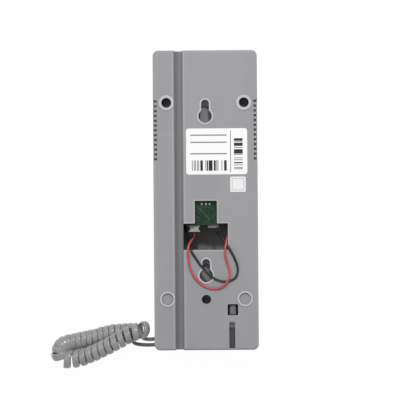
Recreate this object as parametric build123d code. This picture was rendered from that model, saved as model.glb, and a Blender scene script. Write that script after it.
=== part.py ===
from build123d import *
import math
import os

# Audio intercom lying on its handset, seen from behind: +Z leaves the rear face,
# +Y is the top end, millimetres, origin on the table under the body's middle.

# Base housing
BASE_WIDTH = 73.0
BASE_LENGTH = 210.0
BASE_FRONT_Z = 20.0
BASE_SPLIT_Z = 38.0
BASE_REAR_Z = 46.0
BASE_WALL = 2.0
BASE_CORNER_RADIUS = 4.0
REAR_EDGE_RADIUS = 1.8
FRONT_EDGE_RADIUS = 3.0
LIP_THICKNESS = 1.0
LIP_HEIGHT = 1.5
LIP_ROOT = 2.0

# Clearances and overrun
SEAT_GAP = 0.3
SLIDE_GAP = 0.05
LIP_GAP = 0.15
CUT_OVERRUN = 1.0

# Rear feet and screw wells
FOOT_INSET = 9.4
TOP_FOOT_Y = 68.3
BOTTOM_FOOT_Y = -69.0
FOOT_DIAMETER = 10.8
FOOT_RING_WIDTH = 1.2
FOOT_RISE = 0.6
BLIND_RECESS = 1.0
WELL_DIAMETER = 6.9
WELL_FLOOR_Z = 35.0
WELL_FLOOR_THICKNESS = 2.0
LOWER_WELL_Y = -69.4
LOWER_WELL_DIAMETER = 6.5
LOWER_WELL_WALL = 1.2
CASE_BOSS_DIAMETER = 7.0
CASE_SCREW_SHANK = 3.0
CASE_SCREW_HEAD = 6.0
CASE_SCREW_HEAD_HEIGHT = 2.2
CASE_SCREW_REACH = 4.5
SCREW_SLOT_WIDTH = 1.0
SCREW_SLOT_DEPTH = 0.9

# Keyholes
KEYHOLE_TOP_Y = 58.8
KEYHOLE_SPACING = 111.4
KEYHOLE_DIAMETER = 9.4
KEYHOLE_SLOT_WIDTH = 5.5
KEYHOLE_RISE = 8.8
KEYHOLE_RIM_WIDTH = 1.1
KEYHOLE_RIM_RISE = 0.4
KEYHOLE_POCKET_DEPTH = 8.0
KEYHOLE_POCKET_GAP = 0.5
KEYHOLE_POCKET_WALL = 1.2

# Cable groove and window
GROOVE_X = -18.75
GROOVE_WIDTH = 5.5
GROOVE_DEPTH = 3.5
GROOVE_WALL = 1.5
GROOVE_FLARE = 0.7
GROOVE_END_NOTCH = 0.9
WINDOW_NECK_WIDTH = 15.5
WINDOW_TOP_Y = -0.35
WINDOW_STEP_Y = -16.2
WINDOW_LEFT_X = -15.8
WINDOW_RIGHT_X = 15.4
WINDOW_BOTTOM_Y = -34.75

# Side vents
VENT_COUNT = 13
VENT_TOP_Y = 69.3
VENT_PITCH = 3.36
VENT_HEIGHT = 1.6
VENT_REACH = 2.6
VENT_DEPTH = 5.5
VENT_STRIP_DEPTH = 0.6
VENT_STRIP_MARGIN = 1.7

# Catch window and ramped slot
CATCH_X = 18.45
CATCH_WINDOW_WIDTH = 7.3
CATCH_WINDOW_TOP_Y = -72.8
CATCH_WINDOW_BOTTOM_Y = -80.6
CATCH_WIDTH = 5.0
CATCH_THICKNESS = 1.6
CATCH_Y = -77.2
CATCH_TOP_Z = 43.4
CATCH_HOOK = 3.6
CATCH_HEEL = 1.4
CATCH_HOOK_HEIGHT = 2.4
CATCH_ROUND = 1.6
RAMP_X = 17.85
RAMP_WIDTH = 4.1
RAMP_TOP_Y = -85.3
RAMP_BOTTOM_Y = -103.5
RAMP_RUN = 6.0
RAMP_DEPTH = 5.0
RAMP_WALL = 1.0

# Cradle recesses in the base front
RECESS_DEPTH = 6.3
RECESS_SIDE_GAP = 0.8
EAR_RECESS_BOTTOM_Y = 42.0
MOUTH_RECESS_TOP_Y = -38.0
RECESS_CORNER_RADIUS = 3.0

# Ringer
RINGER_Y = 20.0
RINGER_DIAMETER = 36.0
RINGER_RIM = 2.2
RINGER_RIM_HEIGHT = 3.0
RINGER_BASKET_HEIGHT = 6.0
RINGER_BASKET_DIAMETER = 24.0
RINGER_BASKET_WALL = 1.2
MAGNET_DIAMETER = 17.0
MAGNET_HEIGHT = 2.4
CONE_THICKNESS = 0.5
CONE_DEPTH = 4.0
CONE_HUB_DIAMETER = 9.0
RINGER_RIB = 1.4
RINGER_RIB_HEIGHT = 4.0
RINGER_TAB_LENGTH = 4.0
RINGER_TAB_WIDTH = 3.2
RINGER_TAB_SINK = 1.2
RINGER_TAB_HEIGHT = 9.0
RINGER_TAB_X = 14.5
RINGER_TAB_INSET = 2.6
SOUND_SLOT_COUNT = 5
SOUND_SLOT_WIDTH = 1.8
SOUND_SLOT_LENGTH = 20.0
SOUND_SLOT_PITCH = 4.2

# Circuit board
BOARD_LEFT_X = -13.2
BOARD_SIDE_INSET = 7.0
BOARD_TOP_Y = 46.0
BOARD_BOTTOM_Y = -17.9
BOARD_SKEW = 1.9
BOARD_THICKNESS = 1.6
BOARD_STANDOFF = 1.4
STANDOFF_DIAMETER = 5.0
BOARD_SCREW_INSET = 4.0
BOARD_SCREW_TIE_Y = 8.0
BOARD_SCREW_SHANK = 2.2
BOARD_SCREW_HEAD = 4.4
BOARD_SCREW_HEAD_HEIGHT = 1.6
BOARD_SCREW_BITE = 2.4

# Pieces on the board
JOINT_RADIUS = 0.85
JOINT_HEIGHT = 0.6
JOINT_PLACES = [(-2.8, -2.5), (0.15, -2.5), (2.75, -2.5), (-6.6, -2.2), (-5.9, -5.6), (-4.9, -8.9),
                (-6.3, -12.2), (1.7, -9.2), (4.2, -9.8), (6.8, -9.0), (3.1, -12.2), (5.8, -12.5)]
WHITE_PLUG_LEFT_X = -11.9
WHITE_PLUG_WIDTH = 7.7
WHITE_PLUG_NOSE_Y = -22.1
WHITE_PLUG_LENGTH = 9.0
WHITE_PLUG_HEIGHT = 5.0
WHITE_PLUG_WIRE_X = -8.0
WHITE_PLUG_NOTCH_DEPTH = 0.9
WHITE_PLUG_NOTCH_START = 1.0
WHITE_PLUG_NOTCH_LENGTH = 2.3
GREY_PLUG_LEFT_X = 1.5
GREY_PLUG_WIDTH = 7.4
GREY_PLUG_NOSE_Y = -19.4
GREY_PLUG_LENGTH = 6.5
GREY_PLUG_HEIGHT = 4.8
GREY_PLUG_WIRE_X = 7.0
CAPACITOR_DIAMETER = 6.3
CAPACITOR_HEIGHT = 7.0
CAPACITOR_Y = 34.0
CAPACITOR_FIRST_X = -3.0
CAPACITOR_PITCH = 9.0
CAPACITOR_COUNT = 3
RESISTOR_DIAMETER = 2.3
RESISTOR_LENGTH = 6.5
RESISTOR_Y = 1.0
RESISTOR_FIRST_X = -9.0
RESISTOR_PITCH = 3.6
RESISTOR_COUNT = 6
CHIP_WIDTH = 6.4
CHIP_LENGTH = 9.6
CHIP_HEIGHT = 3.4
CHIP_X = -3.0
CHIP_Y = 14.0
COIL_BLOCK_WIDTH = 13.0
COIL_BLOCK_LENGTH = 12.0
COIL_BLOCK_HEIGHT = 7.0
COIL_BLOCK_X = 12.5
COIL_BLOCK_Y = 16.0

# Line terminals under the window
TERMINAL_LENGTH = 26.0
TERMINAL_DEPTH = 9.0
TERMINAL_HEIGHT = 8.0
TERMINAL_Y = -10.5
TERMINAL_COUNT = 4
TERMINAL_PITCH = 6.2
TERMINAL_SCREW_DIAMETER = 3.6
TERMINAL_SCREW_HEIGHT = 3.0
TERMINAL_MOUTH = 3.0
TERMINAL_MOUTH_DEPTH = 4.0

# Hook switch
PLUNGER_X = 13.0
PLUNGER_Y = -58.0
PLUNGER_TRAVEL = 3.5
PLUNGER_DIAMETER = 5.0
PLUNGER_FLANGE_DIAMETER = 8.4
PLUNGER_FLANGE_THICKNESS = 1.2
PLUNGER_PIN_DIAMETER = 2.6
HOOK_POST_LENGTH = 5.0
HOOK_POST_WIDTH = 8.0
HOOK_POST_SPACING = 14.0
HOOK_POST_TOP_Z = 38.0
HOOK_PLATE_THICKNESS = 1.2
HOOK_SWITCH_LENGTH = 8.0
HOOK_SWITCH_WIDTH = 6.0
HOOK_SWITCH_HEIGHT = 3.8
HOOK_SCREW_SHANK = 2.0
HOOK_SCREW_HEAD = 3.8
HOOK_SCREW_HEAD_HEIGHT = 1.3
HOOK_SCREW_REACH = 5.0
SPRING_WIRE = 0.6
SPRING_DIAMETER = 6.6
SPRING_TURNS = 3

# Door button
BUTTON_SIDE_INSET = 8.1
BUTTON_Y = -10.0
BUTTON_WIDTH = 9.0
BUTTON_LENGTH = 20.0
BUTTON_RISE = 1.7
BUTTON_TRAVEL = 1.0
BUTTON_FLANGE = 1.1
BUTTON_FLANGE_THICKNESS = 1.0
BUTTON_STEM_DIAMETER = 3.2
BUTTON_STEM_OFFSET = 2.4
TACT_SIZE = 6.0
TACT_HEIGHT = 3.6
TACT_KEY_DIAMETER = 3.4
TACT_KEY_HEIGHT = 1.0

# Stickers
LABEL_LEFT_X = -13.5
LABEL_SIDE_INSET = 7.2
LABEL_BOTTOM_Y = 18.0
LABEL_TOP_Y = 50.2
LABEL_RADIUS = 2.0
STICKER_THICKNESS = 0.15
SMALL_STICKER_WIDTH = 10.8
SMALL_STICKER_SIDE_INSET = 8.5
SMALL_STICKER_BOTTOM_Y = 5.7
SMALL_STICKER_TOP_Y = 16.4
SMALL_STICKER_RADIUS = 0.8

# Handset
HANDSET_WIDTH = 46.0
HANDSET_BOTTOM_Y = -90.0
HANDSET_TOP_Y = 94.0
HANDSET_END_RADIUS = 13.0
HANDSET_WAIST_INSET = 4.0
HANDSET_WAIST_RUN = 18.0
HANDSET_WAIST_RADIUS = 80.0
HANDSET_WAIST_TOP_Y = 48.0
HANDSET_WAIST_BOTTOM_Y = -44.0
HANDSET_WALL = 2.0
HANDSET_SPLIT_Z = 12.0
HANDSET_GRIP_Z = 14.0
HANDSET_CUP_Z = 26.0
EAR_CUP_BOTTOM_Y = 50.0
MOUTH_CUP_TOP_Y = -46.0
CUP_SLOPE_RUN = 10.0
HANDSET_TOE_RUN = 12.0
HANDSET_TOE_RISE = 6.0
HANDSET_TOE_RADIUS = 14.0
HANDSET_NECK_RADIUS = 7.0
HANDSET_EDGE_RADIUS = 5.0
HANDSET_INNER_EDGE_RADIUS = 2.0
PANEL_WIDTH = 26.0
PANEL_BOTTOM_Y = -70.0
PANEL_TOP_Y = 74.0
PANEL_RISE = 0.4

# Earpiece and microphone
EAR_Y = 72.0
EAR_DIAMETER = 34.0
EAR_HEIGHT = 8.0
EAR_BACK_DIAMETER = 22.0
EAR_BACK_HEIGHT = 3.0
FOAM_THICKNESS = 1.4
FOAM_WIDTH = 3.0
EAR_RIB_WALL = 1.2
EAR_RIB_HEIGHT = 4.0
EAR_POST_DIAMETER = 4.0
EAR_POST_RADIUS = 14.0
EAR_POST_COUNT = 3
EAR_HOLE_DIAMETER = 2.2
EAR_HOLE_PITCH = 4.4
EAR_HOLE_RINGS = 2
MIC_Y = -74.0
MIC_DIAMETER = 9.7
MIC_HEIGHT = 6.6
BOOT_WALL = 1.6
BOOT_FLOOR = 1.6
MIC_RIB_WALL = 1.4
MIC_RIB_HEIGHT = 4.0
MIC_POST_DIAMETER = 5.0
MIC_HOLE_DIAMETER = 1.8
MIC_HOLE_PITCH = 3.0
MIC_HOLE_COUNT = 3

# Handset screws
HANDSET_SCREW_YS = (32.0, -28.0)
HANDSET_SCREW_SHANK = 2.6
HANDSET_SCREW_HEAD = 5.0
HANDSET_SCREW_HEAD_HEIGHT = 1.5
HANDSET_SCREW_REACH = 6.0
HANDSET_SCREW_SEAT_Z = 10.6
HANDSET_BOSS_TOP_Z = 9.0
HANDSET_BOSS_DIAMETER = 8.0

# Grommets
GROMMET_NECK_DIAMETER = 5.0
GROMMET_FLANGE_DIAMETER = 6.6
GROMMET_FLANGE_THICKNESS = 0.8
GROMMET_BARB_THICKNESS = 1.5
HANDSET_EXIT_X = -6.0
HANDSET_EXIT_Z = 12.0
BASE_EXIT_INSET = 7.0

# Curly cord: wire, curls and the axis that the curls wind round
CORD_WIRE = 2.8
CURL_DIAMETER = 11.5
CURL_TURNS = 28
CURL_SLICES = 2000
CURL_AXIS = [(-45.0, -92.2, 5.9), (-54.0, -93.4, 5.9), (-66.0, -95.6, 5.9), (-78.0, -98.0, 5.9),
             (-90.0, -100.9, 5.9), (-98.6, -102.8, 6.1), (-108.4, -103.8, 6.8), (-107.8, -117.3, 8.0),
             (-97.0, -116.4, 7.2), (-86.0, -112.6, 8.2), (-75.0, -107.6, 12.8), (-65.0, -103.0, 15.6),
             (-56.0, -99.0, 17.3), (-48.5, -95.9, 18.1)]
CURL_AXIS_BENDS = [60.0, 60.0, 60.0, 50.0, 40.0, 6.7, 6.7, 14.0, 30.0, 30.0, 40.0, 40.0]
CURL_PITCH_SHARES = [0, 0.06, 0.37, 0.43, 0.52, 0.59, 1]
CURL_PITCHES = [8.0, 4.0, 4.0, 10.2, 10.2, 4.5, 4.5]

# Tails of the curly cord, from the coil's end to just before the grommet
HANDSET_TAIL_ROUTE = [(-41.6, -100.9, 1.7), (-37.4, -102.9, 2.6), (-31.6, -103.4, 4.8),
                      (-25.2, -103.3, 7.6), (-18.8, -103.0, 10.2), (-12.8, -102.0, 11.8),
                      (-8.2, -98.8, 12.0)]
BASE_TAIL_ROUTE = [(-43.8, -103.0, 12.4), (-39.6, -102.7, 10.7), (-35.2, -100.8, 9.8),
                   (-31.6, -98.9, 11.2)]
HANDSET_TAIL_LEAD = 3.6
BASE_TAIL_LEAD = 3.0

# Leads inside the base and the handset
INNER_LEAD = 2.0
BASE_LEAD_END_ROUTE = [(7.3, 11.4, 30.4), (7.5, 21.0, 32.8), (7.1, 37.0, 33.4)]
BASE_LEAD_SIDE_ROUTE = [(6.9, -48.0, 33.2), (7.3, -28.0, 33.4), (8.7, -10.0, 33.6)]
BASE_LEAD_ROUTE = [(-23.6, 5.0, 34.0), (-17.0, 15.6, 34.6), (-12.8, 20.8, 35.6)]
BOARD_LEAD_X = -11.2
BOARD_LEAD_Y = 22.8
EAR_LEAD_ROUTE = [(-7.0, -76.4, 9.0), (-9.4, -62.0, 6.8), (-10.6, -42.0, 6.2), (-10.6, -18.0, 6.0),
                  (-10.4, 6.0, 6.0), (-9.4, 30.0, 6.2), (-6.2, 50.0, 6.2), (-2.4, 61.0, 6.4)]
EAR_LEAD_X = 0.6
EAR_LEAD_Y = 68.0
MIC_LEAD_ROUTE = [(-6.4, -79.8, 11.2)]
MIC_LEAD_X = -4.4
MIC_LEAD_Y = -75.4
LEAD_RUN = 3.0
LEAD_SPLIT = 1.1

# Hook-up wires that loop over the rear plate
HOOKUP_WIRE = 1.5
RED_ROUTE = [(-8.8, -26.6, 41.0), (-11.2, -29.2, 45.2), (-12.8, -33.4, 48.5), (-12.5, -40.6, 47.4),
             (-11.2, -48.2, 46.9), (-7.0, -56.2, 46.9), (0.6, -61.6, 46.9), (9.0, -61.9, 47.2),
             (15.0, -57.4, 49.0), (17.0, -50.4, 47.6), (14.2, -42.6, 46.9), (12.9, -36.4, 47.8),
             (13.9, -30.2, 44.8), (15.8, -23.2, 39.8), (17.6, -17.0, 35.4), (18.2, -9.6, 30.9)]
BLACK_ROUTE = [(-17.6, -9.6, 30.9), (-15.4, -16.6, 33.0), (-13.6, -22.6, 36.4), (-12.8, -27.2, 40.0),
               (-11.9, -31.4, 44.6), (-10.4, -35.6, 47.5), (-7.6, -40.2, 46.9), (-3.6, -46.0, 46.9),
               (1.6, -52.2, 46.9), (8.2, -56.4, 46.85), (15.6, -57.2, 46.85), (21.4, -54.0, 46.9),
               (22.4, -47.2, 46.9), (19.8, -40.4, 46.95), (16.4, -33.9, 47.9), (12.8, -28.2, 46.8),
               (9.6, -24.6, 42.8)]
RINGER_RUN = 4.5
PLUG_RUN = 3.0

# Arc rule of every laid cord, and points measured on each arc
ARC_SHARE = 0.45
GAP_SAMPLES = 4


def block(x0, x1, y0, y1, z0, z1):
    """Box between two corners."""
    return Pos((x0 + x1) / 2, (y0 + y1) / 2, (z0 + z1) / 2) * Box(x1 - x0, y1 - y0, z1 - z0)


def rod(x, y, z0, z1, diameter):
    """Upright cylinder."""
    return Pos(x, y, (z0 + z1) / 2) * Cylinder(diameter / 2, z1 - z0)


def ring(x, y, z0, z1, outer, inner):
    """Upright tube."""
    return rod(x, y, z0, z1, outer) - rod(x, y, z0, z1, inner)


def slab(width, length, radius, z0, z1):
    """Upright prism with rounded corners, centred on the origin."""
    return Pos(0, 0, z0) * extrude(RectangleRounded(width, length, radius), z1 - z0)


def patch(x0, x1, y0, y1, radius, z0, z1):
    """Upright prism with rounded corners between two corners."""
    outline = RectangleRounded(x1 - x0, y1 - y0, radius)
    return Pos((x0 + x1) / 2, (y0 + y1) / 2, z0) * extrude(outline, z1 - z0)


def loft_rod(x, y, stations):
    """Turned piece from (z, diameter) stations."""
    points = [(0, stations[0][0])] + [(d / 2, z) for z, d in stations] + [(0, stations[-1][0])]
    half = make_face(Polyline(*points, close=True))
    return Pos(x, y, 0) * revolve(Plane.XZ * half, Axis.Z)


def save(node, *solids):
    """Write one node, with each separate piece as its own solid."""
    pieces = [s for shape in solids for s in shape.solids()]
    export_step(pieces[0] if len(pieces) == 1 else Compound(children=pieces), f"parts/{node}.step")


def slotted_screw(x, y, head_z, tip_z, head, head_height, shank, head_side):
    """Pan head screw; head_side is 1 with its head on +Z and -1 with its head on -Z."""
    top_z = head_z + head_side * head_height
    screw = rod(x, y, min(head_z, top_z), max(head_z, top_z), head) + rod(
        x, y, min(head_z, tip_z), max(head_z, tip_z), shank)
    slot_z = top_z - head_side * SCREW_SLOT_DEPTH
    return screw - block(x - head, x + head, y - SCREW_SLOT_WIDTH / 2, y + SCREW_SLOT_WIDTH / 2,
                         min(top_z, slot_z), max(top_z, slot_z))


# Levels that follow from the housing
PLATE_INNER_Z = BASE_REAR_Z - BASE_WALL
FRONT_INNER_Z = BASE_FRONT_Z + BASE_WALL
RECESS_FLOOR_Z = BASE_FRONT_Z + RECESS_DEPTH
RECESS_BACK_Z = RECESS_FLOOR_Z + BASE_WALL
FOOT_X = BASE_WIDTH / 2 - FOOT_INSET
BOARD_RIGHT_X = BASE_WIDTH / 2 - BOARD_SIDE_INSET
BUTTON_X = BASE_WIDTH / 2 - BUTTON_SIDE_INSET
BUTTON_STEM_X = BUTTON_X - BUTTON_STEM_OFFSET
LABEL_RIGHT_X = BASE_WIDTH / 2 - LABEL_SIDE_INSET
SMALL_STICKER_RIGHT_X = BASE_WIDTH / 2 - SMALL_STICKER_SIDE_INSET
SMALL_STICKER_LEFT_X = SMALL_STICKER_RIGHT_X - SMALL_STICKER_WIDTH
BASE_EXIT_X = BASE_EXIT_INSET - BASE_WIDTH / 2
BASE_EXIT_Y = BASE_EXIT_INSET - BASE_LENGTH / 2
HANDSET_WAIST_WIDTH = HANDSET_WIDTH - 2 * HANDSET_WAIST_INSET
INNER_WIDTH = BASE_WIDTH - 2 * BASE_WALL
INNER_LENGTH = BASE_LENGTH - 2 * BASE_WALL
INNER_RADIUS = BASE_CORNER_RADIUS - BASE_WALL
LIP_OUTER_GAP = BASE_WALL + LIP_GAP
LIP_INNER_GAP = LIP_OUTER_GAP + LIP_THICKNESS
WELL_BASE_Z = WELL_FLOOR_Z - WELL_FLOOR_THICKNESS
RECESS_HALF_WIDTH = HANDSET_WIDTH / 2 + RECESS_SIDE_GAP
EAR_RECESS_TOP_Y = HANDSET_TOP_Y + RECESS_SIDE_GAP
MOUTH_RECESS_BOTTOM_Y = HANDSET_BOTTOM_Y - RECESS_SIDE_GAP
BOARD_REAR_Z = PLATE_INNER_Z - BOARD_STANDOFF
BOARD_FRONT_Z = BOARD_REAR_Z - BOARD_THICKNESS
RINGER_TAB_Y = (RINGER_Y - math.sqrt((RINGER_DIAMETER / 2) ** 2 - RINGER_TAB_X ** 2)
                + RINGER_TAB_INSET)
RINGER_TAB_TOP_Z = FRONT_INNER_Z + RINGER_TAB_HEIGHT
KEYHOLE_YS = (KEYHOLE_TOP_Y, KEYHOLE_TOP_Y - KEYHOLE_SPACING)
CASE_SCREW_PLACES = [(-FOOT_X, TOP_FOOT_Y), (FOOT_X, TOP_FOOT_Y), (0, LOWER_WELL_Y)]
BOARD_SCREW_PLACES = [(BOARD_LEFT_X + BOARD_SCREW_INSET, BOARD_TOP_Y - BOARD_SCREW_INSET),
                      (BOARD_RIGHT_X - BOARD_SCREW_INSET, BOARD_TOP_Y - BOARD_SCREW_INSET),
                      (BOARD_RIGHT_X - BOARD_SCREW_INSET, BOARD_SCREW_TIE_Y)]


def keyhole(y, grow, z0, z1):
    """Round entry with a slot above it, grown by a margin."""
    slot = KEYHOLE_SLOT_WIDTH + 2 * grow
    return (rod(0, y, z0, z1, KEYHOLE_DIAMETER + 2 * grow)
            + rod(0, y + KEYHOLE_RISE, z0, z1, slot)
            + block(-slot / 2, slot / 2, y, y + KEYHOLE_RISE, z0, z1))


def keyhole_pocket(y, grow, z0, z1):
    """Room behind a keyhole that a screw's head slides up in, grown by a margin."""
    width = KEYHOLE_DIAMETER + 2 * (KEYHOLE_POCKET_GAP + grow)
    return (rod(0, y, z0, z1, width) + rod(0, y + KEYHOLE_RISE, z0, z1, width)
            + block(-width / 2, width / 2, y, y + KEYHOLE_RISE, z0, z1))


def rear_shell():
    """Rear tray: plate, walls, wells, cable groove, window, vents and catches."""
    shell = slab(BASE_WIDTH, BASE_LENGTH, BASE_CORNER_RADIUS, BASE_SPLIT_Z, BASE_REAR_Z)
    shell = fillet(shell.edges().group_by(Axis.Z)[-1], REAR_EDGE_RADIUS)
    shell -= slab(INNER_WIDTH, INNER_LENGTH, INNER_RADIUS, BASE_SPLIT_Z, PLATE_INNER_Z)

    # Channel under the cable groove
    groove_floor_z = BASE_REAR_Z - GROOVE_DEPTH
    channel_half = GROOVE_WIDTH / 2 + GROOVE_WALL
    shell += block(GROOVE_X - channel_half, GROOVE_X + channel_half, -INNER_LENGTH / 2,
                   INNER_LENGTH / 2, groove_floor_z - GROOVE_WALL, PLATE_INNER_Z)

    # Wells, feet and board standoffs
    foot_top_z = BASE_REAR_Z + FOOT_RISE
    for side in (-1, 1):
        shell += rod(side * FOOT_X, TOP_FOOT_Y, WELL_BASE_Z, foot_top_z, FOOT_DIAMETER)
        shell += rod(side * FOOT_X, BOTTOM_FOOT_Y, PLATE_INNER_Z, foot_top_z, FOOT_DIAMETER)
        shell -= rod(side * FOOT_X, BOTTOM_FOOT_Y, BASE_REAR_Z - BLIND_RECESS, foot_top_z,
                     FOOT_DIAMETER - 2 * FOOT_RING_WIDTH)
    shell += rod(0, LOWER_WELL_Y, WELL_BASE_Z, PLATE_INNER_Z, LOWER_WELL_DIAMETER + 2 * LOWER_WELL_WALL)
    for x, y in BOARD_SCREW_PLACES:
        shell += rod(x, y, BOARD_REAR_Z, PLATE_INNER_Z, STANDOFF_DIAMETER)
    pocket_floor_z = BASE_REAR_Z - KEYHOLE_POCKET_DEPTH
    for y in KEYHOLE_YS:
        shell += keyhole(y, KEYHOLE_RIM_WIDTH, BASE_REAR_Z - KEYHOLE_RIM_RISE, BASE_REAR_Z + KEYHOLE_RIM_RISE)
        shell += (keyhole_pocket(y, KEYHOLE_POCKET_WALL, pocket_floor_z - KEYHOLE_POCKET_WALL, PLATE_INNER_Z)
                  - keyhole_pocket(y, 0, pocket_floor_z, PLATE_INNER_Z))

    # Pocket behind the ramped slot
    ramp_left, ramp_right = RAMP_X - RAMP_WIDTH / 2, RAMP_X + RAMP_WIDTH / 2
    ramp_floor_z = BASE_REAR_Z - RAMP_DEPTH
    shell += block(ramp_left - RAMP_WALL, ramp_right + RAMP_WALL, -INNER_LENGTH / 2,
                   RAMP_TOP_Y + RAMP_WALL, ramp_floor_z - RAMP_WALL, PLATE_INNER_Z)
    ramp = make_face(Polyline((RAMP_BOTTOM_Y, ramp_floor_z), (RAMP_TOP_Y - RAMP_RUN, ramp_floor_z),
                              (RAMP_TOP_Y, PLATE_INNER_Z), (RAMP_TOP_Y, BASE_REAR_Z + CUT_OVERRUN),
                              (RAMP_BOTTOM_Y, BASE_REAR_Z + CUT_OVERRUN), close=True))
    shell -= Pos(ramp_left, 0, 0) * extrude(Plane.YZ * ramp, RAMP_WIDTH)

    # Screw holes
    for x, y in CASE_SCREW_PLACES:
        bore = WELL_DIAMETER if x else LOWER_WELL_DIAMETER
        shell -= rod(x, y, WELL_FLOOR_Z, foot_top_z + CUT_OVERRUN, bore)
        shell -= rod(x, y, WELL_BASE_Z, WELL_FLOOR_Z, CASE_SCREW_SHANK + 2 * LIP_GAP)
    for x, y in BOARD_SCREW_PLACES:
        shell -= rod(x, y, BOARD_REAR_Z, BOARD_REAR_Z + BOARD_SCREW_BITE + SLIDE_GAP,
                     BOARD_SCREW_SHANK + 2 * SLIDE_GAP)

    # Keyholes, window and catch window
    through = (PLATE_INNER_Z - CUT_OVERRUN, foot_top_z + CUT_OVERRUN)
    for y in KEYHOLE_YS:
        shell -= keyhole(y, 0, *through)
    neck = WINDOW_NECK_WIDTH / 2
    shell -= block(-neck, neck, WINDOW_STEP_Y, WINDOW_TOP_Y, PLATE_INNER_Z, through[1])
    shell -= block(WINDOW_LEFT_X, WINDOW_RIGHT_X, WINDOW_BOTTOM_Y, WINDOW_STEP_Y, BASE_SPLIT_Z, through[1])
    shell -= patch(CATCH_X - CATCH_WINDOW_WIDTH / 2, CATCH_X + CATCH_WINDOW_WIDTH / 2,
                   CATCH_WINDOW_BOTTOM_Y, CATCH_WINDOW_TOP_Y, SMALL_STICKER_RADIUS, *through)

    # Cable groove with flared lips, open at both ends
    half, top_z = GROOVE_WIDTH / 2, BASE_REAR_Z + CUT_OVERRUN
    lip = half + GROOVE_FLARE
    groove = make_face(Polyline((-half, groove_floor_z), (half, groove_floor_z),
                                (half, BASE_REAR_Z - GROOVE_FLARE), (lip, BASE_REAR_Z), (lip, top_z),
                                (-lip, top_z), (-lip, BASE_REAR_Z), (-half, BASE_REAR_Z - GROOVE_FLARE),
                                close=True))
    shell -= Pos(GROOVE_X, 0, 0) * extrude(Plane.XZ * groove, BASE_LENGTH / 2 + CUT_OVERRUN, both=True)
    for end in (-1, 1):
        outer_y = end * (BASE_LENGTH / 2 + CUT_OVERRUN)
        inner_y = end * (BASE_LENGTH / 2 - GROOVE_END_NOTCH)
        shell -= block(GROOVE_X - half, GROOVE_X + half, min(inner_y, outer_y), max(inner_y, outer_y),
                       BASE_SPLIT_Z, top_z)

    # Side vents in a shallow strip
    vent_bottom_y = VENT_TOP_Y - VENT_PITCH * (VENT_COUNT - 1)
    strip_z = BASE_REAR_Z - VENT_DEPTH
    for side in (-1, 1):
        face_x = side * BASE_WIDTH / 2
        far_x = face_x + side * CUT_OVERRUN
        strip_x = face_x - side * VENT_STRIP_DEPTH
        reach_x = face_x - side * VENT_REACH
        shell -= block(min(strip_x, far_x), max(strip_x, far_x), vent_bottom_y - VENT_STRIP_MARGIN,
                       VENT_TOP_Y + VENT_STRIP_MARGIN, strip_z, top_z)
        for step in range(VENT_COUNT):
            y = VENT_TOP_Y - step * VENT_PITCH
            shell -= block(min(reach_x, far_x), max(reach_x, far_x), y - VENT_HEIGHT / 2,
                           y + VENT_HEIGHT / 2, strip_z, top_z)
    return shell


def recess(y0, y1):
    """Cradle pocket that takes one end of the handset."""
    return patch(-RECESS_HALF_WIDTH, RECESS_HALF_WIDTH, y0, y1, RECESS_CORNER_RADIUS,
                 BASE_FRONT_Z - CUT_OVERRUN, RECESS_FLOOR_Z)


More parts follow.
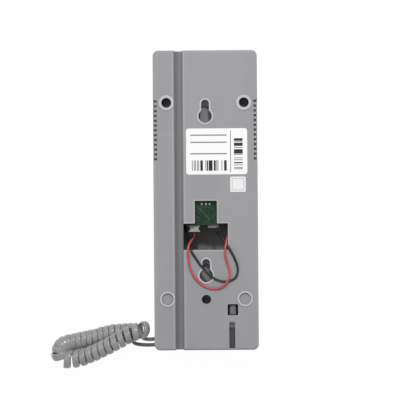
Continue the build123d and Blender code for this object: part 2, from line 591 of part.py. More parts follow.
def front_shell():
    """Front cover: cradle, bosses, switch posts, ringer seat, catch and button hole."""
    shell = slab(BASE_WIDTH, BASE_LENGTH, BASE_CORNER_RADIUS, BASE_FRONT_Z, BASE_SPLIT_Z)
    shell = fillet(shell.edges().group_by(Axis.Z)[0], FRONT_EDGE_RADIUS)
    shell -= slab(INNER_WIDTH, INNER_LENGTH, INNER_RADIUS, FRONT_INNER_Z, BASE_SPLIT_Z)

    # Lip inside the rear tray
    lip_bore = slab(BASE_WIDTH - 2 * LIP_INNER_GAP, BASE_LENGTH - 2 * LIP_INNER_GAP, LIP_THICKNESS,
                    BASE_SPLIT_Z - LIP_ROOT, BASE_SPLIT_Z + LIP_HEIGHT)
    shell += slab(INNER_WIDTH, INNER_LENGTH, INNER_RADIUS, BASE_SPLIT_Z - LIP_ROOT, BASE_SPLIT_Z) - lip_bore
    shell += slab(BASE_WIDTH - 2 * LIP_OUTER_GAP, BASE_LENGTH - 2 * LIP_OUTER_GAP, INNER_RADIUS,
                  BASE_SPLIT_Z, BASE_SPLIT_Z + LIP_HEIGHT) - lip_bore

    # Walls round the two recesses
    for y0, y1 in ((EAR_RECESS_BOTTOM_Y, EAR_RECESS_TOP_Y), (MOUTH_RECESS_BOTTOM_Y, MOUTH_RECESS_TOP_Y)):
        shell += patch(-RECESS_HALF_WIDTH - BASE_WALL, RECESS_HALF_WIDTH + BASE_WALL, y0 - BASE_WALL,
                       y1 + BASE_WALL, RECESS_CORNER_RADIUS + BASE_WALL, FRONT_INNER_Z, RECESS_BACK_Z)

    # Bosses, posts, ringer seat and catch
    for x, y in CASE_SCREW_PLACES:
        shell += rod(x, y, FRONT_INNER_Z if x else RECESS_BACK_Z, WELL_BASE_Z, CASE_BOSS_DIAMETER)
    for side in (-1, 1):
        post_y = PLUNGER_Y + side * HOOK_POST_SPACING / 2
        shell += block(PLUNGER_X - HOOK_POST_WIDTH / 2, PLUNGER_X + HOOK_POST_WIDTH / 2,
                       post_y - HOOK_POST_LENGTH / 2, post_y + HOOK_POST_LENGTH / 2,
                       RECESS_BACK_Z, HOOK_POST_TOP_Z)
        shell -= rod(PLUNGER_X, post_y, HOOK_POST_TOP_Z - HOOK_SCREW_REACH - SLIDE_GAP, HOOK_POST_TOP_Z,
                     HOOK_SCREW_SHANK + 2 * SLIDE_GAP)
    seat_bore = RINGER_DIAMETER + 2 * LIP_GAP
    shell += ring(0, RINGER_Y, FRONT_INNER_Z, FRONT_INNER_Z + RINGER_RIB_HEIGHT,
                  seat_bore + 2 * RINGER_RIB, seat_bore)
    shell += block(CATCH_X - CATCH_WIDTH / 2, CATCH_X + CATCH_WIDTH / 2, CATCH_Y - CATCH_THICKNESS,
                   CATCH_Y, RECESS_BACK_Z, CATCH_TOP_Z - CATCH_HOOK_HEIGHT)
    claw = block(CATCH_X - CATCH_WIDTH / 2, CATCH_X + CATCH_WIDTH / 2, CATCH_Y - CATCH_THICKNESS - CATCH_HEEL,
                 CATCH_Y + CATCH_HOOK, CATCH_TOP_Z - CATCH_HOOK_HEIGHT, CATCH_TOP_Z)
    shell += fillet(claw.edges().filter_by(Axis.Y).group_by(Axis.Z)[-1], CATCH_ROUND)

    # Recesses and openings
    shell -= recess(EAR_RECESS_BOTTOM_Y, EAR_RECESS_TOP_Y)
    shell -= recess(MOUTH_RECESS_BOTTOM_Y, MOUTH_RECESS_TOP_Y)
    for x, y in CASE_SCREW_PLACES:
        shell -= rod(x, y, WELL_FLOOR_Z - CASE_SCREW_REACH - WELL_FLOOR_THICKNESS, WELL_BASE_Z,
                     CASE_SCREW_SHANK + 2 * SLIDE_GAP)
    shell -= rod(PLUNGER_X, PLUNGER_Y, RECESS_FLOOR_Z, RECESS_BACK_Z, PLUNGER_DIAMETER + 2 * SLIDE_GAP)
    button_hole = SlotOverall(BUTTON_LENGTH + 2 * SEAT_GAP, BUTTON_WIDTH + 2 * SEAT_GAP)
    shell -= Pos(BUTTON_X, BUTTON_Y, BASE_FRONT_Z - CUT_OVERRUN) * extrude(
        Rot(0, 0, 90) * button_hole, BASE_WALL + 2 * CUT_OVERRUN)
    for step in range(SOUND_SLOT_COUNT):
        x = (step - (SOUND_SLOT_COUNT - 1) / 2) * SOUND_SLOT_PITCH
        shell -= block(x - SOUND_SLOT_WIDTH / 2, x + SOUND_SLOT_WIDTH / 2, RINGER_Y - SOUND_SLOT_LENGTH / 2,
                       RINGER_Y + SOUND_SLOT_LENGTH / 2, BASE_FRONT_Z - CUT_OVERRUN, FRONT_INNER_Z)

    # Hole for the cord grommet
    shell -= rod(BASE_EXIT_X, BASE_EXIT_Y, BASE_FRONT_Z, FRONT_INNER_Z, GROMMET_NECK_DIAMETER)
    return shell


def grommet(wall):
    """Rubber bush along local +Z: flange outside the wall, neck through it, barb inside."""
    outer = Pos(0, 0, GROMMET_FLANGE_THICKNESS / 2) * Cylinder(
        GROMMET_FLANGE_DIAMETER / 2, GROMMET_FLANGE_THICKNESS)
    neck = Pos(0, 0, -wall / 2) * Cylinder(GROMMET_NECK_DIAMETER / 2 - SLIDE_GAP, wall)
    barb = Pos(0, 0, -wall - GROMMET_BARB_THICKNESS / 2) * Cylinder(
        GROMMET_FLANGE_DIAMETER / 2, GROMMET_BARB_THICKNESS)
    return outer + neck + barb


def base_pieces():
    """Everything the base holds, apart from its shells and wires."""
    # Screws of the case
    save("case_screws", *[slotted_screw(x, y, WELL_FLOOR_Z, WELL_FLOOR_Z - WELL_FLOOR_THICKNESS - CASE_SCREW_REACH,
                                        CASE_SCREW_HEAD, CASE_SCREW_HEAD_HEIGHT, CASE_SCREW_SHANK, 1)
                          for x, y in CASE_SCREW_PLACES])

    # Circuit board with its slanted lower edge
    outline = make_face(Polyline((BOARD_LEFT_X, BOARD_BOTTOM_Y), (BOARD_RIGHT_X, BOARD_BOTTOM_Y + BOARD_SKEW),
                                 (BOARD_RIGHT_X, BOARD_TOP_Y), (BOARD_LEFT_X, BOARD_TOP_Y), close=True))
    board = Pos(0, 0, BOARD_FRONT_Z) * extrude(outline, BOARD_THICKNESS)
    for x, y in BOARD_SCREW_PLACES:
        board -= rod(x, y, BOARD_FRONT_Z, BOARD_REAR_Z, BOARD_SCREW_SHANK + 2 * SLIDE_GAP)
    save("main_board", board)
    save("board_screws", *[slotted_screw(x, y, BOARD_FRONT_Z, BOARD_REAR_Z + BOARD_SCREW_BITE, BOARD_SCREW_HEAD,
                                         BOARD_SCREW_HEAD_HEIGHT, BOARD_SCREW_SHANK, -1)
                           for x, y in BOARD_SCREW_PLACES])
    save("solder_joints", *[loft_rod(x, y, [(BOARD_REAR_Z, 2 * JOINT_RADIUS),
                                            (BOARD_REAR_Z + JOINT_HEIGHT / 2, 2 * JOINT_RADIUS - JOINT_HEIGHT / 2),
                                            (BOARD_REAR_Z + JOINT_HEIGHT, JOINT_RADIUS)])
                            for x, y in JOINT_PLACES])

    # Pieces on the front side of the board
    plug_depth = (BOARD_FRONT_Z - WHITE_PLUG_HEIGHT, BOARD_FRONT_Z)
    right_x = WHITE_PLUG_LEFT_X + WHITE_PLUG_WIDTH
    notch_y = WHITE_PLUG_NOSE_Y + WHITE_PLUG_NOTCH_START
    plug = block(WHITE_PLUG_LEFT_X, right_x, WHITE_PLUG_NOSE_Y, WHITE_PLUG_NOSE_Y + WHITE_PLUG_LENGTH, *plug_depth)
    for x0, x1 in ((WHITE_PLUG_LEFT_X, WHITE_PLUG_LEFT_X + WHITE_PLUG_NOTCH_DEPTH),
                   (right_x - WHITE_PLUG_NOTCH_DEPTH, right_x)):
        plug -= block(x0, x1, notch_y, notch_y + WHITE_PLUG_NOTCH_LENGTH, *plug_depth)
    save("white_wire_plug", plug)
    save("grey_wire_plug", block(GREY_PLUG_LEFT_X, GREY_PLUG_LEFT_X + GREY_PLUG_WIDTH, GREY_PLUG_NOSE_Y,
                                 GREY_PLUG_NOSE_Y + GREY_PLUG_LENGTH, BOARD_FRONT_Z - GREY_PLUG_HEIGHT,
                                 BOARD_FRONT_Z))
    save("capacitors", *[rod(CAPACITOR_FIRST_X + step * CAPACITOR_PITCH, CAPACITOR_Y,
                             BOARD_FRONT_Z - CAPACITOR_HEIGHT, BOARD_FRONT_Z, CAPACITOR_DIAMETER)
                         for step in range(CAPACITOR_COUNT)])
    save("resistors", *[Pos(RESISTOR_FIRST_X + step * RESISTOR_PITCH, RESISTOR_Y,
                            BOARD_FRONT_Z - RESISTOR_DIAMETER / 2)
                        * Rot(90, 0, 0) * Cylinder(RESISTOR_DIAMETER / 2, RESISTOR_LENGTH)
                        for step in range(RESISTOR_COUNT)])
    save("amplifier_chip", block(CHIP_X - CHIP_WIDTH / 2, CHIP_X + CHIP_WIDTH / 2, CHIP_Y - CHIP_LENGTH / 2,
                                 CHIP_Y + CHIP_LENGTH / 2, BOARD_FRONT_Z - CHIP_HEIGHT, BOARD_FRONT_Z))
    save("audio_transformer", block(COIL_BLOCK_X - COIL_BLOCK_WIDTH / 2, COIL_BLOCK_X + COIL_BLOCK_WIDTH / 2,
                                    COIL_BLOCK_Y - COIL_BLOCK_LENGTH / 2, COIL_BLOCK_Y + COIL_BLOCK_LENGTH / 2,
                                    BOARD_FRONT_Z - COIL_BLOCK_HEIGHT, BOARD_FRONT_Z))
    tact_floor_z = BOARD_FRONT_Z - TACT_HEIGHT
    save("door_tact_switch", block(BUTTON_STEM_X - TACT_SIZE / 2, BUTTON_STEM_X + TACT_SIZE / 2,
                                   BUTTON_Y - TACT_SIZE / 2, BUTTON_Y + TACT_SIZE / 2, tact_floor_z, BOARD_FRONT_Z)
         + rod(BUTTON_STEM_X, BUTTON_Y, tact_floor_z - TACT_KEY_HEIGHT, tact_floor_z, TACT_KEY_DIAMETER))

    # Line terminals, reached through the window
    terminal_top_z = FRONT_INNER_Z + TERMINAL_HEIGHT
    terminal = block(-TERMINAL_LENGTH / 2, TERMINAL_LENGTH / 2, TERMINAL_Y - TERMINAL_DEPTH / 2,
                     TERMINAL_Y + TERMINAL_DEPTH / 2, FRONT_INNER_Z, terminal_top_z)
    screws = []
    for step in range(TERMINAL_COUNT):
        x = (step - (TERMINAL_COUNT - 1) / 2) * TERMINAL_PITCH
        terminal -= rod(x, TERMINAL_Y, terminal_top_z - TERMINAL_SCREW_HEIGHT, terminal_top_z,
                        TERMINAL_SCREW_DIAMETER + 2 * SLIDE_GAP)
        terminal -= block(x - TERMINAL_MOUTH / 2, x + TERMINAL_MOUTH / 2, TERMINAL_Y - TERMINAL_DEPTH / 2,
                          TERMINAL_Y - TERMINAL_DEPTH / 2 + TERMINAL_MOUTH_DEPTH - TERMINAL_SCREW_DIAMETER / 2,
                          FRONT_INNER_Z + BASE_WALL, FRONT_INNER_Z + BASE_WALL + TERMINAL_MOUTH)
        screw_top_z = terminal_top_z - SCREW_SLOT_DEPTH
        screws.append(rod(x, TERMINAL_Y, terminal_top_z - TERMINAL_SCREW_HEIGHT, screw_top_z,
                          TERMINAL_SCREW_DIAMETER)
                      - block(x - TERMINAL_SCREW_DIAMETER, x + TERMINAL_SCREW_DIAMETER,
                              TERMINAL_Y - SCREW_SLOT_WIDTH / 2, TERMINAL_Y + SCREW_SLOT_WIDTH / 2,
                              screw_top_z - SCREW_SLOT_DEPTH, screw_top_z))
    save("line_terminal_block", terminal)
    save("terminal_screws", *screws)

    # Ringer: rim, basket and magnet in one frame, with its cone inside
    rim_z = FRONT_INNER_Z
    basket_z = rim_z + RINGER_BASKET_HEIGHT
    frame = ring(0, RINGER_Y, rim_z, rim_z + RINGER_RIM_HEIGHT, RINGER_DIAMETER, RINGER_DIAMETER - 2 * RINGER_RIM)
    shell_outer = loft_rod(0, RINGER_Y, [(rim_z + RINGER_RIM_HEIGHT - RINGER_BASKET_WALL, RINGER_DIAMETER),
                                         (rim_z + RINGER_RIM_HEIGHT, RINGER_DIAMETER),
                                         (basket_z, RINGER_BASKET_DIAMETER)])
    shell_inner = loft_rod(0, RINGER_Y, [(rim_z, RINGER_DIAMETER - 2 * RINGER_RIM),
                                         (rim_z + RINGER_RIM_HEIGHT - RINGER_BASKET_WALL,
                                          RINGER_DIAMETER - 2 * RINGER_RIM),
                                         (basket_z - RINGER_BASKET_WALL,
                                          RINGER_BASKET_DIAMETER - 2 * RINGER_BASKET_WALL)])
    frame += shell_outer - shell_inner
    frame += rod(0, RINGER_Y, basket_z, basket_z + MAGNET_HEIGHT, MAGNET_DIAMETER)
    for side in (-1, 1):
        tab_x = side * RINGER_TAB_X
        frame += block(tab_x - RINGER_TAB_WIDTH / 2, tab_x + RINGER_TAB_WIDTH / 2, RINGER_TAB_Y,
                       RINGER_TAB_Y + RINGER_TAB_LENGTH, rim_z + RINGER_RIM_HEIGHT - RINGER_TAB_SINK,
                       RINGER_TAB_TOP_Z)
    save("ringer_frame", frame)
    cone_outer = loft_rod(0, RINGER_Y, [(rim_z + SEAT_GAP, RINGER_DIAMETER - 2 * RINGER_RIM - SLIDE_GAP),
                                        (rim_z + SEAT_GAP + CONE_THICKNESS,
                                         RINGER_DIAMETER - 2 * RINGER_RIM - SLIDE_GAP),
                                        (rim_z + CONE_DEPTH, CONE_HUB_DIAMETER)])
    cone_inner = loft_rod(0, RINGER_Y, [(rim_z + SEAT_GAP, RINGER_DIAMETER - 2 * RINGER_RIM - 4 * CONE_THICKNESS),
                                        (rim_z + CONE_DEPTH - CONE_THICKNESS, CONE_HUB_DIAMETER - CONE_THICKNESS)])
    save("ringer_cone", cone_outer - cone_inner)

    # Hook plunger, spring, plate, screws and switch
    flange_z = RECESS_BACK_Z + PLUNGER_TRAVEL + SEAT_GAP
    flange_top_z = flange_z + PLUNGER_FLANGE_THICKNESS
    save("hook_plunger", rod(PLUNGER_X, PLUNGER_Y, RECESS_FLOOR_Z, flange_z, PLUNGER_DIAMETER)
         + rod(PLUNGER_X, PLUNGER_Y, flange_z, flange_top_z, PLUNGER_FLANGE_DIAMETER)
         + rod(PLUNGER_X, PLUNGER_Y, flange_top_z, HOOK_POST_TOP_Z + HOOK_PLATE_THICKNESS - SEAT_GAP,
               PLUNGER_PIN_DIAMETER))
    plate_top_z = HOOK_POST_TOP_Z + HOOK_PLATE_THICKNESS
    plate_half = HOOK_POST_SPACING / 2 + HOOK_POST_LENGTH / 2
    plate = block(PLUNGER_X - HOOK_POST_WIDTH / 2, PLUNGER_X + HOOK_POST_WIDTH / 2, PLUNGER_Y - plate_half,
                  PLUNGER_Y + plate_half, HOOK_POST_TOP_Z, plate_top_z)
    plate -= rod(PLUNGER_X, PLUNGER_Y, HOOK_POST_TOP_Z, plate_top_z, PLUNGER_PIN_DIAMETER + 2 * LIP_GAP)
    hook_screws = []
    for side in (-1, 1):
        y = PLUNGER_Y + side * HOOK_POST_SPACING / 2
        plate -= rod(PLUNGER_X, y, HOOK_POST_TOP_Z, plate_top_z, HOOK_SCREW_SHANK + 2 * SLIDE_GAP)
        hook_screws.append(slotted_screw(PLUNGER_X, y, plate_top_z, HOOK_POST_TOP_Z - HOOK_SCREW_REACH,
                                         HOOK_SCREW_HEAD, HOOK_SCREW_HEAD_HEIGHT, HOOK_SCREW_SHANK, 1))
    save("hook_switch_plate", plate)
    save("hook_plate_screws", *hook_screws)
    save("hook_switch", block(PLUNGER_X - HOOK_SWITCH_WIDTH / 2, PLUNGER_X + HOOK_SWITCH_WIDTH / 2,
                              PLUNGER_Y - HOOK_SWITCH_LENGTH / 2, PLUNGER_Y + HOOK_SWITCH_LENGTH / 2,
                              plate_top_z, plate_top_z + HOOK_SWITCH_HEIGHT))
    save("hook_spring", spring(PLUNGER_X, PLUNGER_Y, flange_top_z, HOOK_POST_TOP_Z))

    # Door button with its long stem
    flange_z = FRONT_INNER_Z + SEAT_GAP
    flange_top_z = flange_z + BUTTON_FLANGE_THICKNESS
    cap_outline = Rot(0, 0, 90) * SlotOverall(BUTTON_LENGTH, BUTTON_WIDTH)
    cap = Pos(BUTTON_X, BUTTON_Y, BASE_FRONT_Z - BUTTON_RISE) * extrude(
        cap_outline, flange_z - BASE_FRONT_Z + BUTTON_RISE)
    cap = fillet(cap.edges().group_by(Axis.Z)[0], BUTTON_RISE / 2)
    flange_outline = Rot(0, 0, 90) * SlotOverall(BUTTON_LENGTH + 2 * BUTTON_FLANGE,
                                                 BUTTON_WIDTH + 2 * BUTTON_FLANGE)
    cap += Pos(BUTTON_X, BUTTON_Y, flange_z) * extrude(flange_outline, BUTTON_FLANGE_THICKNESS)
    cap += rod(BUTTON_STEM_X, BUTTON_Y, flange_top_z,
               tact_floor_z - TACT_KEY_HEIGHT - BUTTON_TRAVEL - SEAT_GAP, BUTTON_STEM_DIAMETER)
    save("door_button", cap)

    # Stickers on the rear plate
    sticker_top_z = BASE_REAR_Z + STICKER_THICKNESS
    save("label_sticker", patch(LABEL_LEFT_X, LABEL_RIGHT_X, LABEL_BOTTOM_Y, LABEL_TOP_Y, LABEL_RADIUS,
                                BASE_REAR_Z, sticker_top_z))
    save("small_sticker", patch(SMALL_STICKER_LEFT_X, SMALL_STICKER_RIGHT_X, SMALL_STICKER_BOTTOM_Y,
                                SMALL_STICKER_TOP_Y, SMALL_STICKER_RADIUS, BASE_REAR_Z, sticker_top_z))

    # Cord grommet below the cradle
    save("base_cord_grommet", Pos(BASE_EXIT_X, BASE_EXIT_Y, BASE_FRONT_Z) * Rot(180, 0, 0) * grommet(BASE_WALL))


def handset_form(inset):
    """Whole handset body, shrunk by a wall: rounded plan prism cut by the side profile."""
    half, waist = HANDSET_WIDTH / 2 - inset, HANDSET_WAIST_WIDTH / 2 - inset
    top_y, bottom_y = HANDSET_TOP_Y - inset, HANDSET_BOTTOM_Y + inset
    cup_z, grip_z = HANDSET_CUP_Z - inset, HANDSET_GRIP_Z - inset
    side = [(half, bottom_y), (half, HANDSET_WAIST_BOTTOM_Y),
            (waist, HANDSET_WAIST_BOTTOM_Y + HANDSET_WAIST_RUN),
            (waist, HANDSET_WAIST_TOP_Y - HANDSET_WAIST_RUN), (half, HANDSET_WAIST_TOP_Y), (half, top_y)]
    bends = [HANDSET_END_RADIUS - inset] + 4 * [HANDSET_WAIST_RADIUS] + [HANDSET_END_RADIUS - inset]
    plan = make_face(FilletPolyline(*side, *[(-x, y) for x, y in reversed(side)], radius=bends + bends,
                                    close=True))
    prism = Pos(0, 0, inset) * extrude(plan, cup_z - inset)
    if not inset:
        prism = fillet(prism.edges().group_by(Axis.Z)[0], HANDSET_EDGE_RADIUS)
        prism = fillet(prism.edges().group_by(Axis.Z)[-1], HANDSET_INNER_EDGE_RADIUS)
    profile = [(bottom_y + HANDSET_TOE_RUN, inset), (top_y - HANDSET_TOE_RUN, inset),
               (top_y + CUT_OVERRUN, inset + HANDSET_TOE_RISE), (top_y + CUT_OVERRUN, cup_z),
               (EAR_CUP_BOTTOM_Y + inset, cup_z), (EAR_CUP_BOTTOM_Y - CUP_SLOPE_RUN + inset, grip_z),
               (MOUTH_CUP_TOP_Y + CUP_SLOPE_RUN - inset, grip_z), (MOUTH_CUP_TOP_Y - inset, cup_z),
               (bottom_y - CUT_OVERRUN, cup_z), (bottom_y - CUT_OVERRUN, inset + HANDSET_TOE_RISE)]
    turns = 2 * [HANDSET_TOE_RADIUS] + [0, 0] + 4 * [HANDSET_NECK_RADIUS] + [0, 0]
    side_view = make_face(FilletPolyline(*profile, radius=turns, close=True))
    return prism & extrude(Plane.YZ * side_view, HANDSET_WIDTH / 2, both=True)


def ear_holes():
    """Centre hole and rings of sound holes."""
    places = [(0, EAR_Y)]
    for ring_number in range(1, EAR_HOLE_RINGS + 1):
        for step in range(6 * ring_number):
            angle = math.pi * step / (3 * ring_number)
            radius = ring_number * EAR_HOLE_PITCH
            places.append((radius * math.cos(angle), EAR_Y + radius * math.sin(angle)))
    return places


def handset_pieces():
    """Handset shells with what they hold."""
    skin = handset_form(0) - handset_form(HANDSET_WALL)
    reach = max(HANDSET_TOP_Y, -HANDSET_BOTTOM_Y) + CUT_OVERRUN
    inner_z = HANDSET_CUP_Z - HANDSET_WALL
    foam_z = inner_z - FOAM_THICKNESS
    capsule_z = foam_z - EAR_HEIGHT
    boot_z = inner_z - MIC_HEIGHT - BOOT_FLOOR
    boot_diameter = MIC_DIAMETER + 2 * BOOT_WALL
    exit_hole = Pos(HANDSET_EXIT_X, HANDSET_BOTTOM_Y, HANDSET_EXIT_Z) * Rot(90, 0, 0) * Cylinder(
        GROMMET_NECK_DIAMETER / 2, 4 * HANDSET_WALL)

    # Outer shell with its posts and screw bosses
    outer = skin & block(-reach, reach, -reach, reach, 0, HANDSET_SPLIT_Z)
    for step in range(EAR_POST_COUNT):
        angle = math.pi / 2 + 2 * math.pi * step / EAR_POST_COUNT
        outer += rod(EAR_POST_RADIUS * math.cos(angle), EAR_Y + EAR_POST_RADIUS * math.sin(angle),
                     HANDSET_WALL, capsule_z, EAR_POST_DIAMETER)
    outer += rod(0, MIC_Y, HANDSET_WALL, boot_z, MIC_POST_DIAMETER)
    for y in HANDSET_SCREW_YS:
        outer += rod(0, y, HANDSET_WALL, HANDSET_BOSS_TOP_Z, HANDSET_BOSS_DIAMETER)
        outer -= rod(0, y, HANDSET_SCREW_SEAT_Z - HANDSET_SCREW_REACH - SEAT_GAP, HANDSET_BOSS_TOP_Z,
                     HANDSET_SCREW_SHANK + 2 * SLIDE_GAP)

    # Raised flat panel that the handset lies on
    skirt = block(-reach, reach, -reach, reach, 0, PANEL_RISE)
    outer -= skirt - block(-PANEL_WIDTH / 2, PANEL_WIDTH / 2, PANEL_BOTTOM_Y, PANEL_TOP_Y, 0, PANEL_RISE)
    save("handset_outer_shell", outer - exit_hole)

    # Inner shell with its ribs, sound holes and screw wells
    inner = skin & block(-reach, reach, -reach, reach, HANDSET_SPLIT_Z, HANDSET_CUP_Z)
    ear_bore, boot_bore = EAR_DIAMETER + 2 * LIP_GAP, boot_diameter + 2 * SLIDE_GAP
    inner += ring(0, EAR_Y, inner_z - EAR_RIB_HEIGHT, inner_z, ear_bore + 2 * EAR_RIB_WALL, ear_bore)
    inner += ring(0, MIC_Y, inner_z - MIC_RIB_HEIGHT, inner_z, boot_bore + 2 * MIC_RIB_WALL, boot_bore)
    for x, y in ear_holes():
        inner -= rod(x, y, inner_z, HANDSET_CUP_Z, EAR_HOLE_DIAMETER)
    for step in range(MIC_HOLE_COUNT):
        x = (step - (MIC_HOLE_COUNT - 1) / 2) * MIC_HOLE_PITCH
        inner -= rod(x, MIC_Y, inner_z, HANDSET_CUP_Z, MIC_HOLE_DIAMETER)
    for y in HANDSET_SCREW_YS:
        inner += rod(0, y, HANDSET_BOSS_TOP_Z, HANDSET_SPLIT_Z, HANDSET_BOSS_DIAMETER)
        inner -= rod(0, y, HANDSET_SCREW_SEAT_Z, HANDSET_GRIP_Z, HANDSET_SCREW_HEAD + 2 * SEAT_GAP)
        inner -= rod(0, y, HANDSET_BOSS_TOP_Z, HANDSET_SCREW_SEAT_Z, HANDSET_SCREW_SHANK + 2 * LIP_GAP)
    save("handset_inner_shell", inner - exit_hole)
    save("handset_screws", *[slotted_screw(0, y, HANDSET_SCREW_SEAT_Z, HANDSET_SCREW_SEAT_Z - HANDSET_SCREW_REACH,
                                           HANDSET_SCREW_HEAD, HANDSET_SCREW_HEAD_HEIGHT, HANDSET_SCREW_SHANK, 1)
                             for y in HANDSET_SCREW_YS])

    # Earpiece, microphone and their soft seats
    save("earpiece_capsule", rod(0, EAR_Y, capsule_z, foam_z, EAR_DIAMETER)
         + rod(0, EAR_Y, capsule_z - EAR_BACK_HEIGHT, capsule_z, EAR_BACK_DIAMETER))
    save("earpiece_foam_ring", ring(0, EAR_Y, foam_z, inner_z, EAR_DIAMETER, EAR_DIAMETER - 2 * FOAM_WIDTH))
    save("microphone_capsule", rod(0, MIC_Y, inner_z - MIC_HEIGHT, inner_z, MIC_DIAMETER))
    save("microphone_boot", rod(0, MIC_Y, boot_z, inner_z, boot_diameter)
         - rod(0, MIC_Y, inner_z - MIC_HEIGHT, inner_z, MIC_DIAMETER + 2 * SLIDE_GAP))

    # Cord grommet and the two leads behind it
    save("handset_cord_grommet", Pos(HANDSET_EXIT_X, HANDSET_BOTTOM_Y, HANDSET_EXIT_Z)
         * Rot(90, 0, 0) * grommet(HANDSET_WALL))
    barb_y = HANDSET_BOTTOM_Y + HANDSET_WALL + GROMMET_BARB_THICKNESS
    ear_x, mic_x = HANDSET_EXIT_X + LEAD_SPLIT, HANDSET_EXIT_X - LEAD_SPLIT
    ear_z = capsule_z - EAR_BACK_HEIGHT
    save("handset_leads",
         laid_tube("ear lead", [(ear_x, barb_y, HANDSET_EXIT_Z), (ear_x, barb_y + LEAD_RUN, HANDSET_EXIT_Z),
                                *EAR_LEAD_ROUTE, (EAR_LEAD_X, EAR_LEAD_Y, ear_z - LEAD_RUN),
                                (EAR_LEAD_X, EAR_LEAD_Y, ear_z)], INNER_LEAD),
         laid_tube("mic lead", [(mic_x, barb_y, HANDSET_EXIT_Z), (mic_x, barb_y + LEAD_RUN, HANDSET_EXIT_Z),
                                *MIC_LEAD_ROUTE, (MIC_LEAD_X, MIC_LEAD_Y, boot_z - LEAD_RUN),
                                (MIC_LEAD_X, MIC_LEAD_Y, boot_z)], INNER_LEAD))


def spring(x, y, z0, z1):
    """Compression spring between two levels."""
    radius = (SPRING_DIAMETER - SPRING_WIRE) / 2
    rise = z1 - z0 - SPRING_WIRE - 2 * SLIDE_GAP
    start_z = z0 + SPRING_WIRE / 2 + SLIDE_GAP

    def place(turn):
        angle = 2 * math.pi * turn
        return Vector(x + radius * math.cos(angle), y + radius * math.sin(angle),
                      start_z + rise * turn / SPRING_TURNS)

    def heading(turn):
        angle = 2 * math.pi * turn
        return Vector(-radius * math.sin(angle), radius * math.cos(angle),
                      rise / (2 * math.pi * SPRING_TURNS)).normalized()

    marks = [step / 4 for step in range(4 * SPRING_TURNS + 1)]
    return arc_tube("spring", [(place(m), heading(m)) for m in marks], SPRING_WIRE)


def least_gap(edges, diameter):
    """Least gap between turns of one tube, measured on points of its centreline."""
    spots, run = [], 0
    for edge in edges:
        for step in range(GAP_SAMPLES):
            spots.append((run + edge.length * step / GAP_SAMPLES, edge @ (step / GAP_SAMPLES)))
        run += edge.length
    apart = math.pi * diameter
    return min((b - a).length for number, (here, a) in enumerate(spots)
               for there, b in spots[number + 1:] if there - here > apart) - diameter


def arc_tube(name, stations, diameter):
    """Round tube along biarcs through (point, direction) stations."""
    edges, least = [], None
    for (p0, t0), (p1, t1) in zip(stations, stations[1:]):
        gap, both = p1 - p0, t0 + t1
        spread = 2 * (1 - t0.dot(t1))
        along = gap.dot(both)
        if spread * gap.dot(gap) < 1e-9 * along * along:
            edges.append(Edge.make_line(p0, p1))
            continue
        reach = (math.sqrt(along * along + spread * gap.dot(gap)) - along) / spread
        lead, trail = p0 + t0 * reach, p1 - t1 * reach
        middle = (lead + trail) / 2
        for start, tangent, end in ((p0, t0, middle), (middle, (trail - lead).normalized(), p1)):
            chord = end - start
            sine = tangent.cross(chord.normalized()).length
            if sine > 1e-6:
                radius = chord.length / (2 * sine)
                least = radius if least is None else min(least, radius)
                edges.append(Edge.make_tangent_arc(start, tangent, end))
            else:
                edges.append(Edge.make_line(start, end))
    path = Wire(edges)
    first, heading = stations[0]
    tube = sweep(Plane(origin=first, z_dir=heading) * Circle(diameter / 2), path=path)
    expected = path.length * math.pi * diameter ** 2 / 4
    print(f"{name}: length {path.length:.1f}, least radius {least:.2f}, "
          f"least gap to itself {least_gap(edges, diameter):.2f}, volume / expected {tube.volume / expected:.4f}")
    return tube


def laid_tube(name, points, diameter):
    """Round tube along straight runs and tangent arcs."""
    spots = [Vector(*point) for point in points]
    radii = []
    for before, here, after in zip(spots, spots[1:], spots[2:]):
        turn = math.radians((here - before).get_angle(after - here))
        shorter = min((here - before).length, (after - here).length)
        radii.append(ARC_SHARE * shorter / math.tan(turn / 2))
    path = FilletPolyline(*spots, radius=radii)
    tube = sweep(Plane(origin=spots[0], z_dir=spots[1] - spots[0]) * Circle(diameter / 2), path=path)
    expected = path.length * math.pi * diameter ** 2 / 4
    runs = [(b - a).length for a, b in zip(spots, spots[1:])]
    print(f"{name}: length {path.length:.1f}, radii {', '.join(f'{r:.0f}' for r in radii)}, "
          f"runs {min(runs):.1f} to {max(runs):.1f}, volume / expected {tube.volume / expected:.4f}")
    return tube


